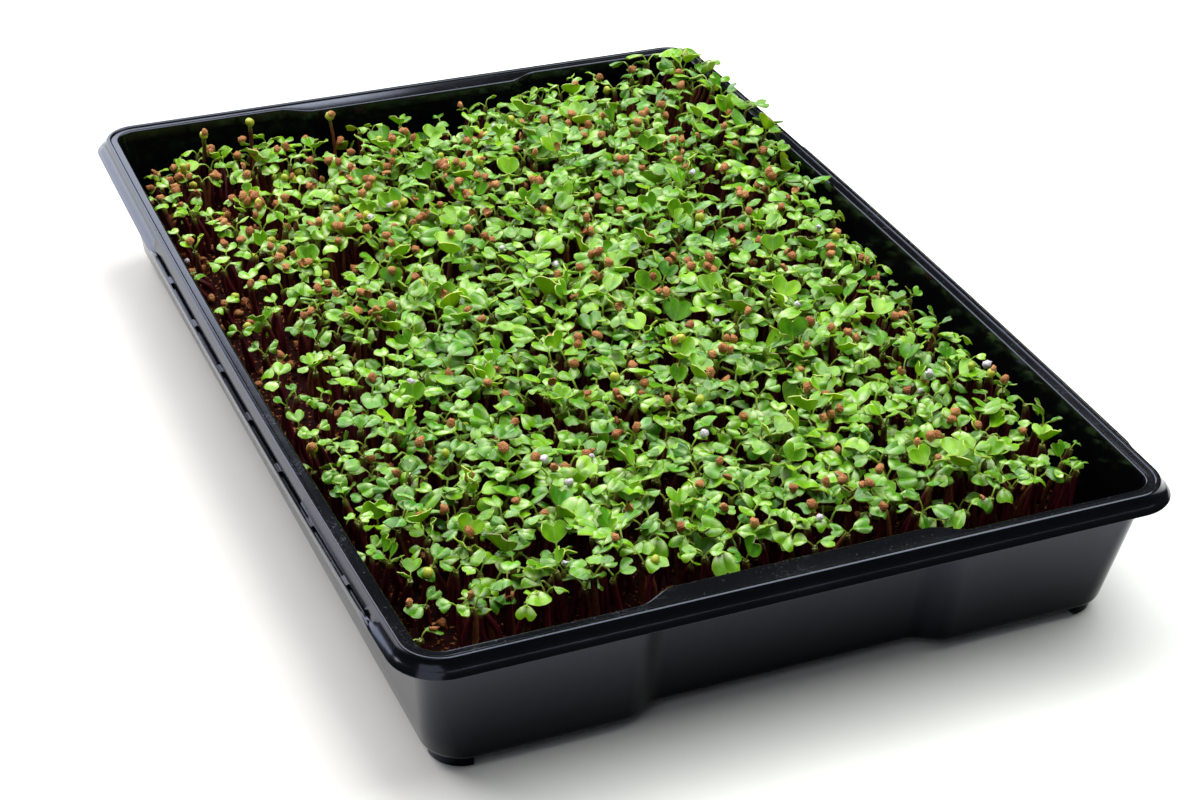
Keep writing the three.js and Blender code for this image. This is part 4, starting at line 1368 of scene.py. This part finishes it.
def set_out(name, kinds, places, finish, rng, sizes, turns=ANY_TURN):
    """A piece that has one of its kinds on every place, each turned and sized at random."""
    count = len(places)
    collection = kinds_collection(f"{name}_kinds", kinds)
    points = point_mesh(f"{name}_points", places, rng.integers(0, len(kinds), count),
                        rng.uniform(*turns, (count, 3)), rng.uniform(*sizes, count), rng.random(count))
    piece = run_tree(name, points, scatter, {"Kinds": collection, "Finish": finish})
    clear_kinds(collection)
    return piece


crop = crop_trees(leaf_pieces)
print("the crop's top at the middle is", round(rest_on_crop(crop, 3, 3)[0].z, 1), "mm")

# %% [markdown]
# ## Seed coats
# A radish seed coat is a round brown shell about three millimetres across. Most have split and lost
# their seed, so they are dented and wrinkled, and a good many still hang together in twos. Eight
# lumpy forms are pushed in from noise, and a node tree puts them on the spots found above. They lie
# thickest at the back left, where the crop is the youngest.

# %% Seed coats
COAT_SEED = 41
COAT_COUNT = 640
LEAST_COATS = 0.24
COAT_RADIUS = 1.5
COAT_SIZES = (0.86, 1.14)
COAT_WRINKLE = 0.55
COAT_KINDS = 8
COAT_DENTS = (0.0, 0.25, 0.9, 0.1)
TWIN_SHARE = 0.35
COAT_SINK = 0.35
TWIN_GAP = 2.6
COAT_NETTING = 0.55
COAT_BLOTCH = 1.8


def lumpy_ball(name, radius, seed, wrinkle, dent):
    """An uneven ball: noise wrinkles it, and its top is pushed in, right through for a split shell."""
    shape = bmesh.new()
    bmesh.ops.create_icosphere(shape, subdivisions=2, radius=radius * MM)
    offset = Vector((seed * 3.1, seed * 1.7, 0))
    for vertex in shape.verts:
        out = vertex.co.normalized()
        swell = 1 + wrinkle * (noise.noise(out * 1.7 + offset) + 0.6 * noise.noise(out * 4.1 + offset))
        pushed = out.z - 1.45 * dent * smooth_step((out.z - 0.12) / 0.6)
        vertex.co = Vector((out.x * 1.12, out.y * 0.96, pushed)) * radius * MM * swell
    mesh = bpy.data.meshes.new(name)
    shape.to_mesh(mesh)
    shape.free()
    shade(mesh)
    return placed(name, mesh)


def dry_seed_coat():
    material, tree, place = new_material("dry radish seed coat")
    tone = add(tree, "ShaderNodeAttribute", attribute_name="tone").outputs["Fac"]
    netting = add(tree, "ShaderNodeTexVoronoi", {
        "Vector": place, "Scale": per_mm(COAT_NETTING)}).outputs["Distance"]
    blotch = add(tree, "ShaderNodeTexNoise", {
        "Vector": place, "Scale": per_mm(COAT_BLOTCH), "Detail": 3.0}).outputs["Fac"]
    shadow = add(tree, "ShaderNodeMapRange", {0: blotch, 1: 0.4, 2: 0.7, 4: 0.7}).outputs[0]
    # Painted shade: the coat is darker in the pits of its netting, where its relief is lowest.
    pit_shade = add(tree, "ShaderNodeMapRange", {0: netting, 1: 0.5, 2: 0.05, 3: 0.0, 4: 0.55}).outputs[0]
    colour = linear("#9a5a2a")
    for share, over in ((tone, "#cc9058"), (shadow, "#b8743f"), (pit_shade, "#6e3b1e")):
        colour = add(tree, "ShaderNodeMix", {0: share, 6: colour, 7: linear(over)},
                     data_type="RGBA").outputs[2]
    return end_material(material, {
        "Base Color": colour, "Roughness": 0.62, "Subsurface Weight": 0.1,
        "Subsurface Radius": (1.0, 0.4, 0.2), "Subsurface Scale": 0.6 * MM}, netting, 0.4, 0.8)


def coat_spots(rng):
    """Places for the coats, denser where the crop is young, some of them in touching twos."""
    spots = []
    while len(spots) < COAT_COUNT:
        x = rng.uniform(-STAND_HALF_X - 3, STAND_HALF_X + 3)
        y = rng.uniform(STAND_FRONT - 2, STAND_BACK + 3)
        if rng.random() > LEAST_COATS + (1 - LEAST_COATS) * youth(x, y) or beyond_panel(x, y, 3):
            continue
        spots.append((x, y))
        if rng.random() < TWIN_SHARE:
            heading = rng.uniform(0, math.tau)
            spots.append((x + TWIN_GAP * math.cos(heading), y + TWIN_GAP * math.sin(heading)))
    return spots


coat_rng = np.random.default_rng(COAT_SEED)
coat_forms = [lumpy_ball(f"coat_{i}", COAT_RADIUS, i, COAT_WRINKLE, COAT_DENTS[i % len(COAT_DENTS)])
              for i in range(COAT_KINDS)]
coat_places = laid(coat_spots(coat_rng), COAT_RADIUS, COAT_SINK)
coat_finish = dry_seed_coat()
seed_coats = set_out("seed_coats", coat_forms, coat_places, coat_finish, coat_rng, COAT_SIZES)
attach(seed_coats, "root")
print("laid", len(coat_places), "seed coats with", len(seed_coats.data.polygons), "faces")

# %% [markdown]
# ## Late sprouts
# Some seeds are late: their leaves are still folded in a yellow-green ball, on a thin stem of its
# own, and nearly half still wear a brown coat as a cap. A few stand clear of the crop at the back.
# The ball has a groove where the two leaves meet, so it isn't a plain sphere.

# %% Late sprouts
SPROUT_SEED = 57
SPROUT_COUNT = 70
LEAST_SPROUTS = 0.25
SPROUT_RADIUS = 1.6
SPROUT_THICKNESS = 0.85
SPROUT_ROOT_SCATTER = 2.0
BUD_SIZES = (0.8, 1.12)
BUD_GROOVE = 0.24
BUD_GROOVE_WIDTH = 0.22
BUD_STRETCH = 1.15
SPROUT_KINDS = 4
SPROUT_HEIGHT = 12
SPROUT_RISE = (0.4, 2.2)
SPROUT_FRONT = -162
BUD_MOTTLE = 1.6
STANDING_SPROUTS = [(-87, 160, 50), (-68, 163, 51), (-37, 160, 50), (-112, -54, 43), (-98, 150, 43)]


def folded_bud(name, seed):
    """A ball with a groove over its top, where the two folded leaves meet."""
    bud = lumpy_ball(name, SPROUT_RADIUS, seed, 0.12, 0.0)
    for vertex in bud.data.vertices:
        out = vertex.co.normalized()
        groove = BUD_GROOVE * math.exp(-(out.x / BUD_GROOVE_WIDTH) ** 2)
        vertex.co *= 1 - groove * smooth_step(out.z + 0.6)
        vertex.co.z *= BUD_STRETCH
    return bud


def folded_leaf_skin():
    material, tree, place = new_material("folded seed leaf")
    tone = add(tree, "ShaderNodeAttribute", attribute_name="tone").outputs["Fac"]
    mottle = add(tree, "ShaderNodeTexNoise", {
        "Vector": place, "Scale": per_mm(BUD_MOTTLE), "Detail": 3.0}).outputs["Fac"]
    colour = linear("#a8b52a")
    for share, over in ((tone, "#ecdf5c"), (mottle, "#93a82c")):
        colour = add(tree, "ShaderNodeMix", {0: share, 6: colour, 7: linear(over)},
                     data_type="RGBA").outputs[2]
    return end_material(material, {
        "Base Color": colour, "Roughness": 0.36, "Subsurface Weight": 0.3,
        "Subsurface Radius": (0.7, 1.0, 0.2), "Subsurface Scale": LEAF_BLEED * MM}, mottle, 0.2, 0.2)


def sprout_spots(rng):
    """The places of the folded buds: a few that stand clear, and the rest just above the crop."""
    places = [Vector(p) for p in STANDING_SPROUTS]
    while len(places) < SPROUT_COUNT:
        x = rng.uniform(-STAND_HALF_X, STAND_HALF_X)
        y = rng.uniform(STAND_FRONT, STAND_BACK)
        if rng.random() > LEAST_SPROUTS + (1 - LEAST_SPROUTS) * youth(x, y) or beyond_panel(x, y, 4):
            continue
        top = rest_on_crop(crop, x, y)[0].z
        least = MEDIUM_TOP + SPROUT_HEIGHT
        places.append(Vector((x, y, max(top, least) + rng.uniform(*SPROUT_RISE))))
    return [Vector(p) for p in kept_inside(places, SPROUT_RADIUS + WALL_GAP)]


def roots_below(places, rng):
    """Where the sprouts are rooted: a few millimetres beside the place below each bud."""
    beside = [(p.x + rng.normal(0, SPROUT_ROOT_SCATTER), p.y + rng.normal(0, SPROUT_ROOT_SCATTER))
              for p in places]
    return np.clip(beside, (-STAND_HALF_X - 2, SPROUT_FRONT), (STAND_HALF_X + 2, STAND_BACK))


sprout_rng = np.random.default_rng(SPROUT_SEED)
sprout_places = sprout_spots(sprout_rng)
bud_feet = np.array([tuple(p - Vector((0, 0, SPROUT_RADIUS))) for p in sprout_places])
sprout_lines = stem_lines(roots_below(sprout_places, sprout_rng), bud_feet, sprout_rng)
sprout_stems = grown_stems("sprout_stems", sprout_lines, stem_growth, SPROUT_THICKNESS)
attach(sprout_stems, "root")
bud_forms = [folded_bud(f"bud_{i}", 20 + i) for i in range(SPROUT_KINDS)]
bud_finish = folded_leaf_skin()
buds = set_out("folded_buds", bud_forms, sprout_places, bud_finish, sprout_rng, BUD_SIZES, UPRIGHT)
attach(buds, "root")
print("made", len(sprout_places), "late sprouts")

# %% [markdown]
# ## Caps on the sprouts
# A late sprout lifts its own seed coat on its head. The caps are the same dented shells as the loose
# coats, set a millimetre above the middle of the buds that still wear one.

# %% Caps
CAP_SHARE = 0.45
CAP_RISE = 1.0
CAP_OFFSET = 0.7
CAP_SIZES = (0.85, 1.05)
CAP_WRINKLE = 0.4
CAP_DENT = 0.25

capped = [p for p in sprout_places if sprout_rng.random() < CAP_SHARE]
cap_forms = [lumpy_ball(f"cap_{i}", COAT_RADIUS, 30 + i, CAP_WRINKLE, CAP_DENT)
             for i in range(SPROUT_KINDS)]
cap_places = [p + Vector((*sprout_rng.normal(0, CAP_OFFSET, 2), CAP_RISE)) for p in capped]
caps = set_out("coat_caps", cap_forms, cap_places, coat_finish, sprout_rng, CAP_SIZES)
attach(caps, "root")
print("put a cap on", len(capped), "of them")

# %% [markdown]
# ## Pale grains
# A few grains of perlite, pale and faintly lilac, were thrown up with the crop and lie on the leaves.

# %% Pale grains
GRAIN_SEED = 71
GRAIN_RADIUS = 1.35
GRAIN_KINDS = 3
GRAIN_SIZES = (0.6, 1.1)
NOTED_GRAINS = [(112, -85), (-107, 116), (-46, 84), (-81, -22), (-71, -30), (-47, -86), (74, 66)]
STRAY_GRAINS = 20
STRAY_AREA = ((-106, -155), (106, 158))
GRAIN_SINK = 0.3
PERLITE_PORE = 0.5


def perlite():
    material, tree, place = new_material("perlite")
    pores = add(tree, "ShaderNodeTexVoronoi", {
        "Vector": place, "Scale": per_mm(PERLITE_PORE)}).outputs["Distance"]
    # Painted shade: each grain is darker towards the middle of its pores, where its relief is lowest.
    colour = add(tree, "ShaderNodeMix", {0: pores, 6: linear("#a79fb8"), 7: linear("#efeaf2")},
                 data_type="RGBA").outputs[2]
    return end_material(material, {"Base Color": colour, "Roughness": 0.5}, pores, 0.2, 0.6)


grain_rng = np.random.default_rng(GRAIN_SEED)
strays = grain_rng.uniform(*STRAY_AREA, (STRAY_GRAINS, 2))
grain_places = laid([*NOTED_GRAINS, *strays.tolist()], GRAIN_RADIUS, GRAIN_SINK)
grain_forms = [lumpy_ball(f"grain_{i}", GRAIN_RADIUS, 40 + i, 0.6, 0.1) for i in range(GRAIN_KINDS)]
grains = set_out("pale_grains", grain_forms, grain_places, perlite(), grain_rng, GRAIN_SIZES)
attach(grains, "root")
print("laid", len(grain_places), "pale grains")

# %% [markdown]
# ## Floor
# A plain floor of matt white paper, much larger than the tray, so that its edge is never seen.

# %% Floor
FLOOR_REACH = 6.0
PAPER_CLOUD = 40


def white_paper():
    material, tree, place = new_material("matt white paper")
    cloud = add(tree, "ShaderNodeTexNoise", {
        "Vector": place, "Scale": per_mm(PAPER_CLOUD), "Detail": 3.0}).outputs["Fac"]
    colour = add(tree, "ShaderNodeMix", {0: cloud, 6: linear("#f3f3f4"), 7: linear("#fafafa")},
                 data_type="RGBA").outputs[2]
    return end_material(material, {
        "Base Color": colour, "Roughness": 0.9, "Specular IOR Level": 0.1})


half = FLOOR_REACH / 2 / MM
corners = [(-half, -half, 0), (half, -half, 0), (half, half, 0), (-half, half, 0)]
studio = mesh_object("studio_floor", corners, [(0, 1, 2, 3)], white_paper())
print("the floor is", FLOOR_REACH, "m wide")

# %% [markdown]
# ## Light
# Soft studio light from large rectangles. One stands low behind the tray, a little to the left: its
# reflection turns the left and back ledges grey, while the right and front ones stay black. Two more
# light the leaves: one from behind on the left, so that they glow, and one from high on the right,
# which also keeps the shadows short and draws the pale line on the bead. The last is a weak fill.

# %% Lights
ROOM_LIGHT = 0.06


def softbox(name, azimuth, elevation, distance, size, radiance, colour):
    """A rectangular light that looks at the tray. Azimuth runs from +Y towards +X, in degrees."""
    turn, rise = math.radians(azimuth), math.radians(elevation)
    towards = Vector((math.sin(turn) * math.cos(rise), math.cos(turn) * math.cos(rise), math.sin(rise)))
    lamp = bpy.data.lights.new(name, "AREA")
    lamp.shape = "RECTANGLE"
    lamp.size, lamp.size_y = size
    lamp.energy = radiance * math.pi * size[0] * size[1]
    lamp.color = linear(colour)[:3]
    made = placed(name, lamp)
    made.location = towards * distance
    made.rotation_euler = towards.to_track_quat("Z", "Y").to_euler()
    return made


softbox("low_softbox", -14, 17, 2.2, (2.4, 1.3), 3.3, "#eef3ff")
softbox("high_softbox", -38, 54, 1.8, (1.4, 1.3), 4.5, "#fffaf2")
softbox("overhead_softbox", 78, 70, 1.6, (1.8, 1.5), 4.6, "#fcfff8")
softbox("front_fill", -138, 46, 1.9, (1.2, 1.0), 0.9, "#ffffff")
world = bpy.data.worlds.new("dim_room")
world.use_nodes = True
background = world.node_tree.nodes["Background"].inputs
background["Color"].default_value = linear("#c9ced8")
background["Strength"].default_value = ROOM_LIGHT
scene.world = world
scene.view_settings.view_transform = "Standard"
